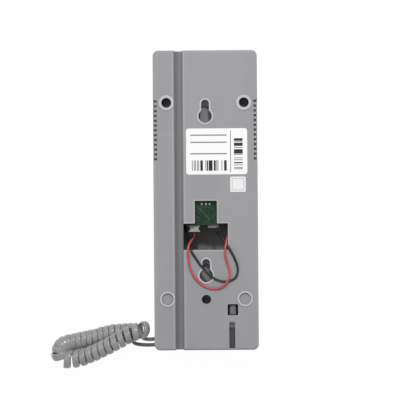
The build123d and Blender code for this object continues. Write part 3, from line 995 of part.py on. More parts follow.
def curl_stations():
    """Quarter-turn (point, direction) stations of the curls along their axis."""
    axis = FilletPolyline(*[Vector(*point) for point in CURL_AXIS], radius=CURL_AXIS_BENDS)
    radius = (CURL_DIAMETER - CORD_WIRE) / 2
    step = axis.length / CURL_SLICES

    # Turns wound so far at each slice, stretched to a whole count of turns
    wound = [0]
    for number in range(CURL_SLICES):
        share = (number + 1 / 2) / CURL_SLICES
        spans = zip(CURL_PITCH_SHARES, CURL_PITCH_SHARES[1:], CURL_PITCHES, CURL_PITCHES[1:])
        for low, high, first, last in spans:
            if low <= share <= high:
                pitch = first + (last - first) * (share - low) / (high - low)
        wound.append(wound[-1] + step / pitch)
    stretch = CURL_TURNS / wound[-1]
    print(f"curly cord: axis {axis.length:.1f}, turns {CURL_TURNS}, pitches times {1 / stretch:.3f}")

    def place(number):
        share = min(max(number / CURL_SLICES, 0), 1)
        centre, along = axis @ share, (axis % share).normalized()
        up = (Vector(0, 0, 1) - along * along.Z).normalized()
        side = along.cross(up)
        low = min(int(number), CURL_SLICES - 1)
        turns = (wound[low] + (wound[low + 1] - wound[low]) * (number - low)) * stretch
        angle = 2 * math.pi * turns
        return centre - up * (radius * math.cos(angle)) + side * (radius * math.sin(angle))

    stations, number = [], 0
    for quarter in range(int(4 * CURL_TURNS) + 1):
        target = quarter / 4 / stretch
        while number < CURL_SLICES - 1 and wound[number + 1] < target:
            number += 1
        spot = number + (target - wound[number]) / (wound[number + 1] - wound[number])
        spot = min(max(spot, 0), CURL_SLICES)
        behind, ahead = max(spot - 1, 0), min(spot + 1, CURL_SLICES)
        stations.append((place(spot), (place(ahead) - place(behind)).normalized()))
    return stations


def curly_cord():
    """Curls with their two straight ends, and a tail from each end to its grommet."""
    stations = curl_stations()
    (first, into), (last, out) = stations[0], stations[-1]
    start, end = first - into * CORD_WIRE, last + out * CORD_WIRE
    tube = arc_tube("curls", [(start, into), *stations, (end, out)], CORD_WIRE)
    save("curly_cord", tube)

    handset_face = (HANDSET_EXIT_X, HANDSET_BOTTOM_Y - GROMMET_FLANGE_THICKNESS, HANDSET_EXIT_Z)
    before_handset = (HANDSET_EXIT_X, handset_face[1] - HANDSET_TAIL_LEAD, HANDSET_EXIT_Z)
    save("cord_tail_to_handset", laid_tube("handset tail", [
        start, start - into * HANDSET_TAIL_LEAD, *HANDSET_TAIL_ROUTE, before_handset, handset_face], CORD_WIRE))
    base_face = (BASE_EXIT_X, BASE_EXIT_Y, BASE_FRONT_Z - GROMMET_FLANGE_THICKNESS)
    before_base = (BASE_EXIT_X, BASE_EXIT_Y, base_face[2] - BASE_TAIL_LEAD)
    save("cord_tail_to_base", laid_tube("base tail", [
        end, end + out * BASE_TAIL_LEAD, *BASE_TAIL_ROUTE, before_base, base_face], CORD_WIRE))


def base_wires():
    """Two hook-up wires that loop over the rear plate, and the lead from the grommet."""
    white_nose = (WHITE_PLUG_WIRE_X, WHITE_PLUG_NOSE_Y, BOARD_FRONT_Z - WHITE_PLUG_HEIGHT / 2)
    grey_nose = (GREY_PLUG_WIRE_X, GREY_PLUG_NOSE_Y, BOARD_FRONT_Z - GREY_PLUG_HEIGHT / 2)
    tab_z = RINGER_TAB_TOP_Z - HOOKUP_WIRE
    right_tab, left_tab = [(side * RINGER_TAB_X, RINGER_TAB_Y, tab_z) for side in (1, -1)]
    save("red_wire", laid_tube("red wire", [
        white_nose, (white_nose[0], white_nose[1] - PLUG_RUN, white_nose[2]), *RED_ROUTE,
        (right_tab[0], right_tab[1] - RINGER_RUN, tab_z), right_tab], HOOKUP_WIRE))
    save("black_wire", laid_tube("black wire", [
        left_tab, (left_tab[0], left_tab[1] - RINGER_RUN, tab_z), *BLACK_ROUTE,
        (grey_nose[0], grey_nose[1] - PLUG_RUN, grey_nose[2]), grey_nose], HOOKUP_WIRE))
    barb_z = FRONT_INNER_Z + GROMMET_BARB_THICKNESS
    side_route = [(across - BASE_WIDTH / 2, along - BASE_LENGTH / 2, z) for across, along, z in BASE_LEAD_END_ROUTE]
    side_route += [(across - BASE_WIDTH / 2, y, z) for across, y, z in BASE_LEAD_SIDE_ROUTE]
    save("base_inner_lead", laid_tube("base inner lead", [
        (BASE_EXIT_X, BASE_EXIT_Y, barb_z), (BASE_EXIT_X, BASE_EXIT_Y, barb_z + LEAD_RUN), *side_route, *BASE_LEAD_ROUTE,
        (BOARD_LEAD_X, BOARD_LEAD_Y, BOARD_FRONT_Z - LEAD_RUN), (BOARD_LEAD_X, BOARD_LEAD_Y, BOARD_FRONT_Z)],
        INNER_LEAD))


if __name__ == "__main__":
    os.makedirs("parts", exist_ok=True)
    save("rear_shell", rear_shell())
    save("front_shell", front_shell())
    base_pieces()
    base_wires()
    handset_pieces()
    curly_cord()
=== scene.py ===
import math

import bmesh
import bpy
from bpy.props import FloatProperty, FloatVectorProperty, IntProperty, PointerProperty
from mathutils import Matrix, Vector


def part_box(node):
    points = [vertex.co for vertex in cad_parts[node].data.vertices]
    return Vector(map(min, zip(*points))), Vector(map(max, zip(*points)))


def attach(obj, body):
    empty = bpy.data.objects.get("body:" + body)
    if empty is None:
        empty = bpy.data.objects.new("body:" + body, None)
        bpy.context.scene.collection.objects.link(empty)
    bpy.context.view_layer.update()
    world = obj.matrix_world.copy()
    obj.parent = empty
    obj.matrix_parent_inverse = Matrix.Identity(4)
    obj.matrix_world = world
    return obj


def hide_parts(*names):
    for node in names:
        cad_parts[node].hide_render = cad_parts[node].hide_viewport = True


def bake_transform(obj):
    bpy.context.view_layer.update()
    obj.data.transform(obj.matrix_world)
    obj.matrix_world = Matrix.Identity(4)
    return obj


bl_info = {
    "name": "Wall intercom looks",
    "version": (1, 0, 0),
    "blender": (4, 5, 0),
    "location": "3D View > Sidebar > Intercom",
    "description": "Cord, wires, finishes and studio of a wall intercom lying face down",
    "category": "Object",
}

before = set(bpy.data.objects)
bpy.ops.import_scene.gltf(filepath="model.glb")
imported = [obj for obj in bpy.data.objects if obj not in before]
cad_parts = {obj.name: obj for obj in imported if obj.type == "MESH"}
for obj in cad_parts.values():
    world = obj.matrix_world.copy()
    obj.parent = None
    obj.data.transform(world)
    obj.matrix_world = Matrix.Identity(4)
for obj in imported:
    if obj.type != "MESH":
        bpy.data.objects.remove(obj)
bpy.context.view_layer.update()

# Camera above the rear plate: sensor in millimetres, turn in radians, the rest in metres
PLATE_Z = 0.046
CAMERA_PLACE = (-0.0040, 0.0002, 1.160)
CAMERA_TURN = -0.0075
CAMERA_SENSOR = 36.0
FRAME_WIDTH = 0.2797

# Axis of the curls, from the handset's end to the base's
CURL_AXIS = [(-0.0540, -0.0946, 0.0064), (-0.0600, -0.0948, 0.0064), (-0.0670, -0.0952, 0.0064),
             (-0.0740, -0.0967, 0.0064), (-0.0810, -0.0988, 0.0064), (-0.0885, -0.1002, 0.0064),
             (-0.0955, -0.1016, 0.0064), (-0.1006, -0.1026, 0.0066), (-0.1042, -0.1040, 0.0076),
             (-0.1062, -0.1074, 0.0086), (-0.1058, -0.1114, 0.0078), (-0.1028, -0.1140, 0.0080),
             (-0.0978, -0.1138, 0.0083), (-0.0920, -0.1132, 0.0096), (-0.0850, -0.1110, 0.0118),
             (-0.0760, -0.1069, 0.0144), (-0.0670, -0.1022, 0.0166), (-0.0585, -0.0975, 0.0176),
             (-0.0520, -0.0944, 0.0174), (-0.0486, -0.0933, 0.0166), (-0.0458, -0.0929, 0.0148),
             (-0.0438, -0.0927, 0.0124)]

# Room for each turn, as relative pitches at shares of the axis, and the steps it is worked out in
CURL_PITCH_SHARES = [0, 0.37, 0.39, 0.435, 0.455, 0.54, 0.58, 0.90, 0.94, 1]
CURL_PITCHES = [4.0, 4.0, 2.4, 2.4, 6.2, 6.2, 5.0, 5.0, 6.2, 6.2]
AXIS_SLICES = 1200
CURL_STEPS = 48
SPLINE_STEPS = 12
LEAST_STEP = 0.0001

# Curls of uneven size, and the turns in the bend that lean and spread or stand open
CURL_SWELL = 0.02
SWELL_RATES = (2.3, 0.7)
BEND_TURNS = (11.6, 12.6, 16.2, 17.2)
BEND_LEAN = 0.75
LEAN_START = 0.75
BEND_SPREAD = 0.15
OPEN_TURNS = (14.6, 15.8, 17.6, 19.0)
OPEN_SWELL = 0.15

# Section of the flat band, and how much of a turn's room it fills
BAND_TILT = 0.06
BAND_SQUARENESS = 0.6
BAND_SIDES = 20
BAND_FILL = 0.98
LEAST_PITCH = 0.0042

# Tails to the grommets, each leaving the last curl straight for its lead
HANDSET_TAIL = [(-0.0542, -0.1009, 0.0015), (-0.0526, -0.1036, 0.0015), (-0.0486, -0.1046, 0.0016),
                (-0.0435, -0.1049, 0.0020), (-0.0380, -0.1047, 0.0030), (-0.0316, -0.1042, 0.0050),
                (-0.0252, -0.1036, 0.0076), (-0.0188, -0.1030, 0.0102), (-0.0128, -0.1020, 0.0118),
                (-0.0082, -0.0988, 0.0120), (-0.0060, -0.0944, 0.0120)]
HANDSET_EXIT = (-0.0060, -0.0908, 0.0120)
HANDSET_TAIL_LEAD = 0.0030
BASE_TAIL = [(-0.0474, -0.0966, 0.0072), (-0.0462, -0.0994, 0.0078), (-0.0424, -0.1002, 0.0088),
             (-0.0384, -0.1000, 0.0098), (-0.0338, -0.0990, 0.0108), (-0.0297, -0.0981, 0.0136)]
BASE_EXIT = (-0.0295, -0.0980, 0.0192)
BASE_TAIL_LEAD = 0.0022
TAIL_FADE = 0.0070

# Parts of the tails given painted shade, as low x, high x, low y and high y
TAIL_BOXES = ((-0.0556, 0.0, -0.1200, -0.0993), (-0.0415, 0.0, -0.1200, -0.0800))
TAIL_SHADE_LOSS = 0.30

# Turns at the base's end of the cord, made as a piece of their own
STRETCH_TURNS = 6

# Hook-up wires over the rear plate; the black wire's tab on the ringer mirrors the red wire's
RED_ROUTE = [(-0.0080, -0.0221, 0.0385), (-0.0080, -0.0251, 0.0385), (-0.0088, -0.0266, 0.0410),
             (-0.0112, -0.0292, 0.0452), (-0.0128, -0.0334, 0.0485), (-0.0125, -0.0406, 0.0474),
             (-0.0112, -0.0482, 0.0469), (-0.0070, -0.0562, 0.0469), (0.0006, -0.0616, 0.0469),
             (0.0090, -0.0619, 0.0472), (0.0150, -0.0574, 0.0490), (0.0170, -0.0504, 0.0476),
             (0.0142, -0.0426, 0.0469), (0.0129, -0.0364, 0.0482), (0.0139, -0.0302, 0.0476),
             (0.0158, -0.0232, 0.0398), (0.0176, -0.0170, 0.0354), (0.0182, -0.0096, 0.0309)]
BLACK_ROUTE = [(-0.0176, -0.0096, 0.0309), (-0.0154, -0.0166, 0.0330), (-0.0136, -0.0226, 0.0364),
               (-0.0128, -0.0272, 0.0400), (-0.0119, -0.0314, 0.0446), (-0.0104, -0.0356, 0.0475),
               (-0.0076, -0.0402, 0.0469), (-0.0036, -0.0460, 0.0469), (0.0016, -0.0522, 0.0469),
               (0.0082, -0.0564, 0.04685), (0.0156, -0.0572, 0.04685), (0.0214, -0.0540, 0.0469),
               (0.0224, -0.0472, 0.0469), (0.0198, -0.0404, 0.04695), (0.0164, -0.0339, 0.0479),
               (0.0128, -0.0282, 0.0450), (0.0096, -0.0246, 0.0428), (0.0070, -0.0224, 0.0386),
               (0.0070, -0.0194, 0.0386)]
RINGER_RUN = 0.0045
RINGER_TAB = (0.0145, 0.0119, 0.0295)
RED_LENGTH = 0.1405
BLACK_LENGTH = 0.1377
WIRE_ROUNDING = 5
# Heights inside the case below which the wires get painted shade, and how dark it leaves them
WIRE_SHADE_Z = (0.0400, 0.0455)
WIRE_SHADE_TONE = 0.30

# Printed lines and pads on the rear of the board; TRACES and PAD_PLACES are in millimetres
BOARD_REAR_Z = 0.0426
TRACE_THICKNESS = 0.00004
TRACE_WIDTH = 0.00026
PAD_RADIUS = 0.00085
PAD_SIDES = 20
TRACES = [[(-5.9, -3.6), (-5.2, -4.6), (2.9, -14.0)], [(-2.8, -2.5), (-2.8, -4.6)],
          [(0.15, -2.5), (0.15, -5.0)], [(2.75, -2.5), (2.75, -4.6)], [(5.4, -10.4), (5.4, -12.4)],
          [(3.4, -11.4), (2.7, -12.6)], [(-6.5, -11.0), (-6.5, -12.6)]]
PAD_PLACES = [(-2.8, -2.5), (0.15, -2.5), (2.75, -2.5)]
BRIGHT_PADS_BOX = (-0.0045, 0.0045, -0.0036, 0.0)
MM = 0.001

# Label: divider, plain rules and two blocks of stripes
LABEL_DIVIDER_X = 0.0176
LABEL_DIVIDER_ENDS = (0.0195, 0.0487)
LABEL_DIVIDER_HALF = 0.0002
LABEL_RULES_Y = (0.0455, 0.0405, 0.0325)
LABEL_RULE_ENDS = (-0.0105, 0.0150)
LABEL_RULE_HALF = 0.00045
LABEL_RULE_INK = 0.75
LABEL_WIDE_BLOCK = (-0.0105, 0.0154, 0.0206, 0.0279)
LABEL_TALL_BLOCK = (0.0200, 0.0261, 0.0213, 0.0458)
STRIPE_PITCH = 0.00045
STRIPE_GAP_SHARE = 0.47

# Small sticker: its thin border
BORDER_INSET = 0.0012
BORDER_LINE = 0.00025
BORDER_INK = 0.8

# Rear plate: its face, window, recesses and edges
PLATE_FACE = 0.0459
RIM_FACE = 0.04615
WINDOW_BOXES = ((-0.0078, 0.0078, -0.0165, -0.0004), (-0.0158, 0.0154, -0.0348, -0.0162))
WINDOW_RIM = 0.0009
GROOVE_X = -0.01875
GROOVE_RIDGE = (0.0034, 0.0044)
GROOVE_BLUR = 0.0004
GROOVE_BOX = (-0.0218, -0.0157, -0.1080, 0.1080)
RAMP_BOX = (0.0157, 0.0200, -0.1036, -0.0852)
RAMP_FADE_Y = (-0.0915, -0.0870)
RECESS_Z = (0.0435, 0.0456)
HALF_WIDTH = 0.0365
EDGE_WIDTH = 0.0022
EDGE_LOW_Z = 0.0425

# Keyhole pockets: low x, high x, low y, where the tone changes, high y, and their floor
KEYHOLE_BOXES = ((-0.0054, 0.0054, 0.0530, 0.0664, 0.0735),
                 (-0.0054, 0.0054, -0.0590, -0.0450, -0.0375))
POCKET_FLOOR = 0.0385
POCKET_FLOOR_DEPTH = 0.001

# Front shell as the two windows show it: its inner face and its catch
INSIDE_BOX = (-0.0345, 0.0345, -0.1055, 0.1055)
INSIDE_Z = (0.0219, 0.0240)
CATCH_BOX = (0.0155, 0.0214, -0.0810, -0.0725)
CATCH_LOW_Z = 0.0395

# Painted highlights and painted shade on both shells, and the painted light and shade of a
# keyhole's floor in two tones, as shares of brightness
RIM_HIGHLIGHT = 0.62
WINDOW_RIM_HIGHLIGHT = 0.28
RIDGE_HIGHLIGHT = 0.16
EDGE_HIGHLIGHT = 0.22
POCKET_LIGHT = 0.5
POCKET_STEP = 0.82
GROOVE_SHADE = 0.46
GROOVE_STEP = 0.10
RAMP_SHADE = 0.72
RAMP_STEP = 0.66
INSIDE_SHADE = 0.50
CATCH_SHADE = 0.45

# Noise: its scale on moulded plastic, its mean, and its stretch over a screw's head
HOUSING_GRAIN = 2600.0
HANDSET_GRAIN = 2200.0
PART_GRAIN = 1800.0
NOISE_MEAN = 0.5
TURNED = (3.0, 3.0, 1.0)

# Colours of the small parts as linear values, with the marks on capacitors and resistors
PLUG_WHITE = (0.30, 0.29, 0.285)
PLUG_GREY = (0.16, 0.16, 0.165)
PLUNGER_GREY = (0.085, 0.085, 0.088)
TERMINAL_BLACK = (0.030, 0.030, 0.032)
BUTTON_GREY = (0.17, 0.17, 0.18)
INNER_LEAD_GREY = (0.20, 0.20, 0.20)
HANDSET_LEAD_GREY = (0.24, 0.24, 0.24)
GROMMET_BLACK = (0.035, 0.035, 0.037)
BOOT_BLACK = (0.030, 0.030, 0.032)
EAR_FOAM = (0.045, 0.045, 0.045)
CONE_PAPER = (0.10, 0.095, 0.085)
TRACE_GREEN = (0.085, 0.150, 0.115)
TINNED_COPPER = (0.55, 0.50, 0.42)
TIN_DULL = (0.62, 0.62, 0.61)
TIN_BRIGHT = (0.80, 0.80, 0.78)
TIN_UNDER_FLUX = (0.10, 0.15, 0.12)
TRANSFORMER_STEEL = (0.52, 0.52, 0.51)
RINGER_STEEL = (0.60, 0.60, 0.61)
CAPSULE_STEEL = (0.66, 0.66, 0.66)
SCREW_BLACK = (0.100, 0.100, 0.105)
SCREW_ZINC = (0.56, 0.56, 0.54)
SPRING_STEEL = (0.58, 0.58, 0.57)
LABEL_SHADE = (0.85, 0.85, 0.86)
LABEL_WHITE = (0.90, 0.90, 0.90)
LABEL_INK = (0.02, 0.02, 0.022)
STICKER_SHADE = (0.76, 0.76, 0.77)
STICKER_WHITE = (0.83, 0.83, 0.83)
STICKER_INK = (0.05, 0.05, 0.05)
SLEEVE_DARK = (0.012, 0.014, 0.03)
SLEEVE_STRIPE = (0.5, 0.5, 0.5)
SLEEVE_STRIPE_SHARE = 0.18
SLEEVE_STRIPE_INK = 0.8
LACQUER = (0.45, 0.32, 0.17)
RESISTOR_RINGS = ((0.22, (0.25, 0.05, 0.02)), (0.38, (0.02, 0.02, 0.02)),
                  (0.54, (0.5, 0.15, 0.02)), (0.78, (0.45, 0.3, 0.05)))
RING_WIDTH_SHARE = 0.09

# Stage: floor, world and lamps
FLOOR_REACH = 3.0
FLOOR_Z = -0.0002
FLOOR_WHITE = (0.86, 0.86, 0.86, 1.0)
FLOOR_GLOW_SHARE = 0.975
WHITE = (1, 1, 1, 1)
LAMP_AIM = (0, 0, 0.03)
KEY_PLACE = (0.10, 0.74, 1.12)
KEY_SIZE = 0.13
SIDE_PLACE = (-0.7, 0.2, 1.1)
SIDE_SIZE = 0.9
SIDE_POWER = 2.5


class IntercomSizes(bpy.types.PropertyGroup):
    """Sizes of the soft pieces and powers of the studio's lights."""

    band_width: FloatProperty(
        name="Cord width", description="Width of the flat curly cord",
        default=0.0046, min=0.002, max=0.006, unit="LENGTH")
    band_thickness: FloatProperty(
        name="Cord thickness", description="Thickness of the flat curly cord",
        default=0.0024, min=0.001, max=0.004, unit="LENGTH")
    curl_diameter: FloatProperty(
        name="Curl diameter", description="Outer diameter of the curls",
        default=0.0122, min=0.008, max=0.016, unit="LENGTH")
    curl_turns: IntProperty(
        name="Curl turns", description="Number of curls in the cord", default=28, min=7)
    wire_diameter: FloatProperty(
        name="Wire diameter", description="Diameter of the red and black wires",
        default=0.0015, min=0.0008, max=0.003, unit="LENGTH")
    tail_width: FloatProperty(
        name="Tail width", description="Width of the cord's straight ends",
        default=0.0027, min=0.001, max=0.005, unit="LENGTH")
    key_power: FloatProperty(
        name="Key lamp", description="Power of the small lamp above the top end",
        default=9.5, min=0, unit="POWER")
    sky_strength: FloatProperty(
        name="Room light", description="Strength of the even light all round",
        default=0.5, min=0)


class IntercomColours(bpy.types.PropertyGroup):
    """Main colours, as linear values."""

    housing: FloatVectorProperty(
        name="Housing", description="Grey of both shells of the base",
        subtype="COLOR", default=(0.300, 0.297, 0.313))
    handset: FloatVectorProperty(
        name="Handset", description="Grey of the handset's shells",
        subtype="COLOR", default=(0.345, 0.341, 0.356))
    cord: FloatVectorProperty(
        name="Cord", description="Grey of the curly cord",
        subtype="COLOR", default=(0.285, 0.290, 0.284))
    red_wire: FloatVectorProperty(
        name="Red wire", description="Insulation of the red wire",
        subtype="COLOR", default=(0.500, 0.070, 0.085))
    black_wire: FloatVectorProperty(
        name="Black wire", description="Insulation of the black wire",
        subtype="COLOR", default=(0.010, 0.010, 0.011))
    board: FloatVectorProperty(
        name="Board", description="Solder mask of the circuit boards",
        subtype="COLOR", default=(0.007, 0.031, 0.015))


class Value:
    """A shader socket that takes part in Python arithmetic."""

    def __init__(self, finish, socket):
        self.finish, self.socket = finish, socket

    def __add__(self, other):
        return self.finish.math("ADD", self, other)

    def __sub__(self, other):
        return self.finish.math("SUBTRACT", self, other)

    def __rsub__(self, other):
        return self.finish.math("SUBTRACT", other, self)

    def __mul__(self, other):
        return self.finish.math("MULTIPLY", self, other)

    def __truediv__(self, other):
        return self.finish.math("DIVIDE", self, other)

    def __gt__(self, other):
        return self.finish.math("GREATER_THAN", self, other)

    def __lt__(self, other):
        return self.finish.math("LESS_THAN", self, other)

    __radd__ = __add__
    __rmul__ = __mul__


class Finish:
    """A material whose nodes are added by calls and expressions."""

    def __init__(self, name, **constants):
        self.material = bpy.data.materials.new(name)
        self.material.use_nodes = True
        self.nodes, self.links = self.material.node_tree.nodes, self.material.node_tree.links
        self.nodes.clear()
        self.shader = self.nodes.new("ShaderNodeBsdfPrincipled")
        for socket, value in constants.items():
            self.shader.inputs[socket.replace("_", " ")].default_value = value
        self.output = self.nodes.new("ShaderNodeOutputMaterial")
        self.links.new(self.shader.outputs[0], self.output.inputs[0])
        self.place = self.node("ShaderNodeTexCoord", {}, {}, "Object")

    def node(self, kind, settings, sockets, output=0):
        """Adds a node: its settings first, then the values or links of its sockets."""
        made = self.nodes.new(kind)
        for name, value in settings.items():
            setattr(made, name, value)
        for name, value in sockets.items():
            if isinstance(value, Value):
                self.links.new(value.socket, made.inputs[name])
            else:
                made.inputs[name].default_value = value
        return Value(self, made.outputs[output])

    def math(self, operation, *values):
        """Math node on numbers and sockets."""
        return self.node("ShaderNodeMath", {"operation": operation}, dict(enumerate(values)))

    def mix(self, share, first, second):
        """Colour between two colours: sockets 6 and 7 take them, and output 2 gives it."""
        return self.node("ShaderNodeMix", {"data_type": "RGBA"}, {0: share, 6: first, 7: second}, 2)

    def scaled(self, colour, share):
        """Colour times a number."""
        return self.node("ShaderNodeVectorMath", {"operation": "SCALE"},
                         {0: colour, "Scale": share})

    def noise(self, scale, detail=2.0, stretch=None):
        """Noise in metres, evenly or stretched along the axes."""
        place = self.place
        if stretch:
            place = self.node("ShaderNodeVectorMath", {"operation": "MULTIPLY"},
                              {0: place, 1: stretch})
        return self.node("ShaderNodeTexNoise", {},
                         {"Vector": place, "Scale": scale, "Detail": detail})

    def fade(self, value, low, high):
        """0 below low, 1 above high, and smooth between them."""
        return self.node("ShaderNodeMapRange", {"interpolation_type": "SMOOTHSTEP"},
                         {"Value": value, "From Min": low, "From Max": high})

    def axes(self):
        """The place's X, Y and Z as numbers."""
        made = self.nodes.new("ShaderNodeSeparateXYZ")
        self.links.new(self.place.socket, made.inputs[0])
        return [Value(self, output) for output in made.outputs]

    def within(self, x, y, box):
        """1 inside a flat box given as low x, high x, low y, high y."""
        low_x, high_x, low_y, high_y = box
        return (x > low_x) * (x < high_x) * (y > low_y) * (y < high_y)

    def feed(self, **sockets):
        """Links values into the shader's own sockets."""
        for name, value in sockets.items():
            self.links.new(value.socket, self.shader.inputs[name.replace("_", " ")])

    def relief(self, height, depth):
        """Bump from a height between 0 and 1, depth in metres."""
        self.feed(Normal=self.node("ShaderNodeBump", {}, {
            "Height": height, "Distance": depth, "Strength": 1.0}))


def opaque(colour, share=1.0):
    """Colour with full alpha, times a share."""
    return (*[part * share for part in colour], 1.0)


def moulded(name, colour, roughness=0.48, grain=HOUSING_GRAIN, painted_shading=None):
    """Moulded plastic with a spark-eroded grain, faint flow marks and handling scuffs."""
    flow_spread, scuff_share, scuff_tone = 0.05, 0.18, 1.16
    grain_gloss, scuff_gloss, flow_relief = 0.12, 0.06, 0.3
    finish = Finish(name, IOR=1.49, Specular_IOR_Level=0.4)
    flow = finish.noise(22.0, detail=3.0, stretch=(1.0, 0.35, 1.0))
    fine = finish.noise(grain)
    scuff = finish.fade(finish.noise(160.0, detail=4.0, stretch=(0.25, 1.0, 1.0)),
                        low=0.62, high=0.74)
    tone = finish.fade(flow, low=0.3, high=0.7)
    plain = finish.mix(tone, opaque(colour, 1 - flow_spread), opaque(colour, 1 + flow_spread))
    plain = finish.mix(scuff * scuff_share, plain, opaque(colour, scuff_tone))
    # Painted light and shade by place, when given, scale the colour
    if painted_shading:
        plain = finish.scaled(plain, painted_shading(finish))
    finish.feed(Base_Color=plain,
                Roughness=roughness + (fine - NOISE_MEAN) * grain_gloss - scuff * scuff_gloss)
    finish.relief(fine + flow * flow_relief, depth=0.00003)
    return finish.material


def rear_painted_shading(finish):
    """Painted highlights on raised rims, window rims, groove ridges and long edges; painted shade
    in the groove and ramp; keyhole floors painted lighter above and darker below.
    """
    x, y, z = finish.axes()
    rim = 0.0
    for low_x, high_x, low_y, high_y in WINDOW_BOXES:
        rim = finish.math("MAXIMUM", rim, finish.within(x, y, (
            low_x - WINDOW_RIM, high_x + WINDOW_RIM, low_y - WINDOW_RIM, high_y + WINDOW_RIM)))
    near, far = GROOVE_RIDGE
    beside = finish.math("ABSOLUTE", x - GROOVE_X)
    ridge = (beside > near) * (beside < far)
    edge = finish.fade(finish.math("ABSOLUTE", x), HALF_WIDTH - EDGE_WIDTH, HALF_WIDTH)
    # Painted highlights on raised rims, round the window, along the groove's ridges and on the long
    # edges
    pale = ((z > RIM_FACE) * RIM_HIGHLIGHT
            + (z > PLATE_FACE) * (rim * WINDOW_RIM_HIGHLIGHT + ridge * RIDGE_HIGHLIGHT)
            + edge * (z > EDGE_LOW_Z) * EDGE_HIGHLIGHT)
    # Painted shade in the groove, darker on its left half, and in the ramped slot, darker towards
    # the bottom
    deep = 1.0 - finish.fade(z, *RECESS_Z)
    across = finish.fade(x, GROOVE_X - GROOVE_BLUR, GROOVE_X + GROOVE_BLUR)
    groove = finish.within(x, y, GROOVE_BOX) * deep * (GROOVE_SHADE - across * GROOVE_STEP)
    climb = finish.fade(y, *RAMP_FADE_Y)
    ramp = finish.within(x, y, RAMP_BOX) * deep * (RAMP_SHADE - climb * RAMP_STEP)
    # Painted light on the upper part of each keyhole floor and painted shade on its lower part
    pocket = 0.0
    for low_x, high_x, low_y, middle_y, high_y in KEYHOLE_BOXES:
        tone = POCKET_LIGHT - (y < middle_y) * POCKET_STEP
        pocket = pocket + finish.within(x, y, (low_x, high_x, low_y, high_y)) * tone
    floor = (z < POCKET_FLOOR) * (z > POCKET_FLOOR - POCKET_FLOOR_DEPTH)
    return (1.0 + pale) * (1.0 - groove - ramp + pocket * floor)


def front_painted_shade(finish):
    """Painted shade on the front shell's inner face and its catch, seen through the windows."""
    x, y, z = finish.axes()
    low_z, high_z = INSIDE_Z
    inside = finish.within(x, y, INSIDE_BOX) * (z > low_z) * (z < high_z)
    catch = finish.within(x, y, CATCH_BOX) * (z > CATCH_LOW_Z)
    return 1.0 - inside * INSIDE_SHADE - catch * CATCH_SHADE


def jacket(name, colour, roughness=0.34, shaded_below_z=None, shaded_boxes=()):
    """Cord or wire jacket of soft PVC, with painted shade deep inside the case and on given parts
    of the tails.
    """
    bloom_spread, bloom_gloss, mark_gloss, mark_relief = 0.08, 0.10, 0.12, 0.3
    finish = Finish(name, IOR=1.53, Specular_IOR_Level=0.5)
    bloom = finish.noise(240.0, detail=3.0)
    marks = finish.fade(finish.noise(1300.0), low=0.6, high=0.72)
    tone = finish.mix(finish.fade(bloom, low=0.35, high=0.7),
                      opaque(colour, 1 - bloom_spread), opaque(colour, 1 + bloom_spread))
    # Painted shade on wires, darker the deeper they lie in the case
    if shaded_below_z:
        unshaded = finish.fade(finish.axes()[2], *shaded_below_z)
        tone = finish.scaled(tone, WIRE_SHADE_TONE + unshaded * (1 - WIRE_SHADE_TONE))
    # Painted shade on the parts of the tails in the given boxes
    if shaded_boxes:
        x, y, _ = finish.axes()
        tail_shade = 0.0
        for box in shaded_boxes:
            tail_shade = finish.math("MAXIMUM", tail_shade, finish.within(x, y, box))
        tone = finish.scaled(tone, 1.0 - tail_shade * TAIL_SHADE_LOSS)
    finish.feed(Base_Color=tone, Roughness=roughness + bloom * bloom_gloss + marks * mark_gloss)
    finish.relief(bloom + marks * mark_relief, depth=0.00002)
    return finish.material


def board_solder():
    """Tin on the board: bright along the plug's row, under dark flux elsewhere."""
    smoothest, grain_gloss = 0.28, 0.2
    finish = Finish("solder_tin", IOR=2.5, Metallic=1.0)
    x, y, _ = finish.axes()
    grain = finish.noise(1400.0, detail=3.0)
    tin = finish.mix(grain, opaque(TIN_DULL), opaque(TIN_BRIGHT))
    bright = finish.within(x, y, BRIGHT_PADS_BOX)
    finish.feed(Base_Color=finish.mix(bright, opaque(TIN_UNDER_FLUX), tin),
                Roughness=smoothest + grain * grain_gloss)
    finish.relief(grain, depth=0.00002)
    return finish.material


def metal(name, colour, roughness=0.32, brushing=(1.0, 14.0, 1.0)):
    """Plated metal, brushed one way, duller in patches."""
    tarnish, brush_gloss, patch_gloss = 0.75, 0.2, 0.12
    finish = Finish(name, IOR=2.5, Metallic=1.0)
    brush = finish.noise(900.0, detail=3.0, stretch=brushing)
    patch = finish.fade(finish.noise(180.0, detail=3.0), low=0.45, high=0.7)
    finish.feed(Base_Color=finish.mix(patch, opaque(colour), opaque(colour, tarnish)),
                Roughness=roughness + (brush - NOISE_MEAN) * brush_gloss + patch * patch_gloss)
    finish.relief(brush, depth=0.00001)
    return finish.material


def solder_mask(name, colour):
    """Circuit board: glossy mask over a glass weave, with broad copper areas under it."""
    weave_rate, weave_share, weave_tone, weave_relief = 9000.0, 0.06, 1.8, 0.05
    smoothest, copper_tone, copper_gloss = 0.3, 1.35, 0.08
    finish = Finish(name, IOR=1.5, Specular_IOR_Level=0.28)
    x, y, _ = finish.axes()
    weave = finish.math("SINE", x * weave_rate) * finish.math("SINE", y * weave_rate)
    pour = finish.fade(finish.noise(210.0, detail=1.0), low=0.49, high=0.51)
    coppered = finish.mix(pour, opaque(colour), opaque(colour, copper_tone))
    woven = finish.mix(weave * weave_share + weave_share, coppered, opaque(colour, weave_tone))
    finish.feed(Base_Color=woven, Roughness=smoothest + pour * copper_gloss)
    finish.relief(pour + weave * weave_relief, depth=0.00003)
    return finish.material


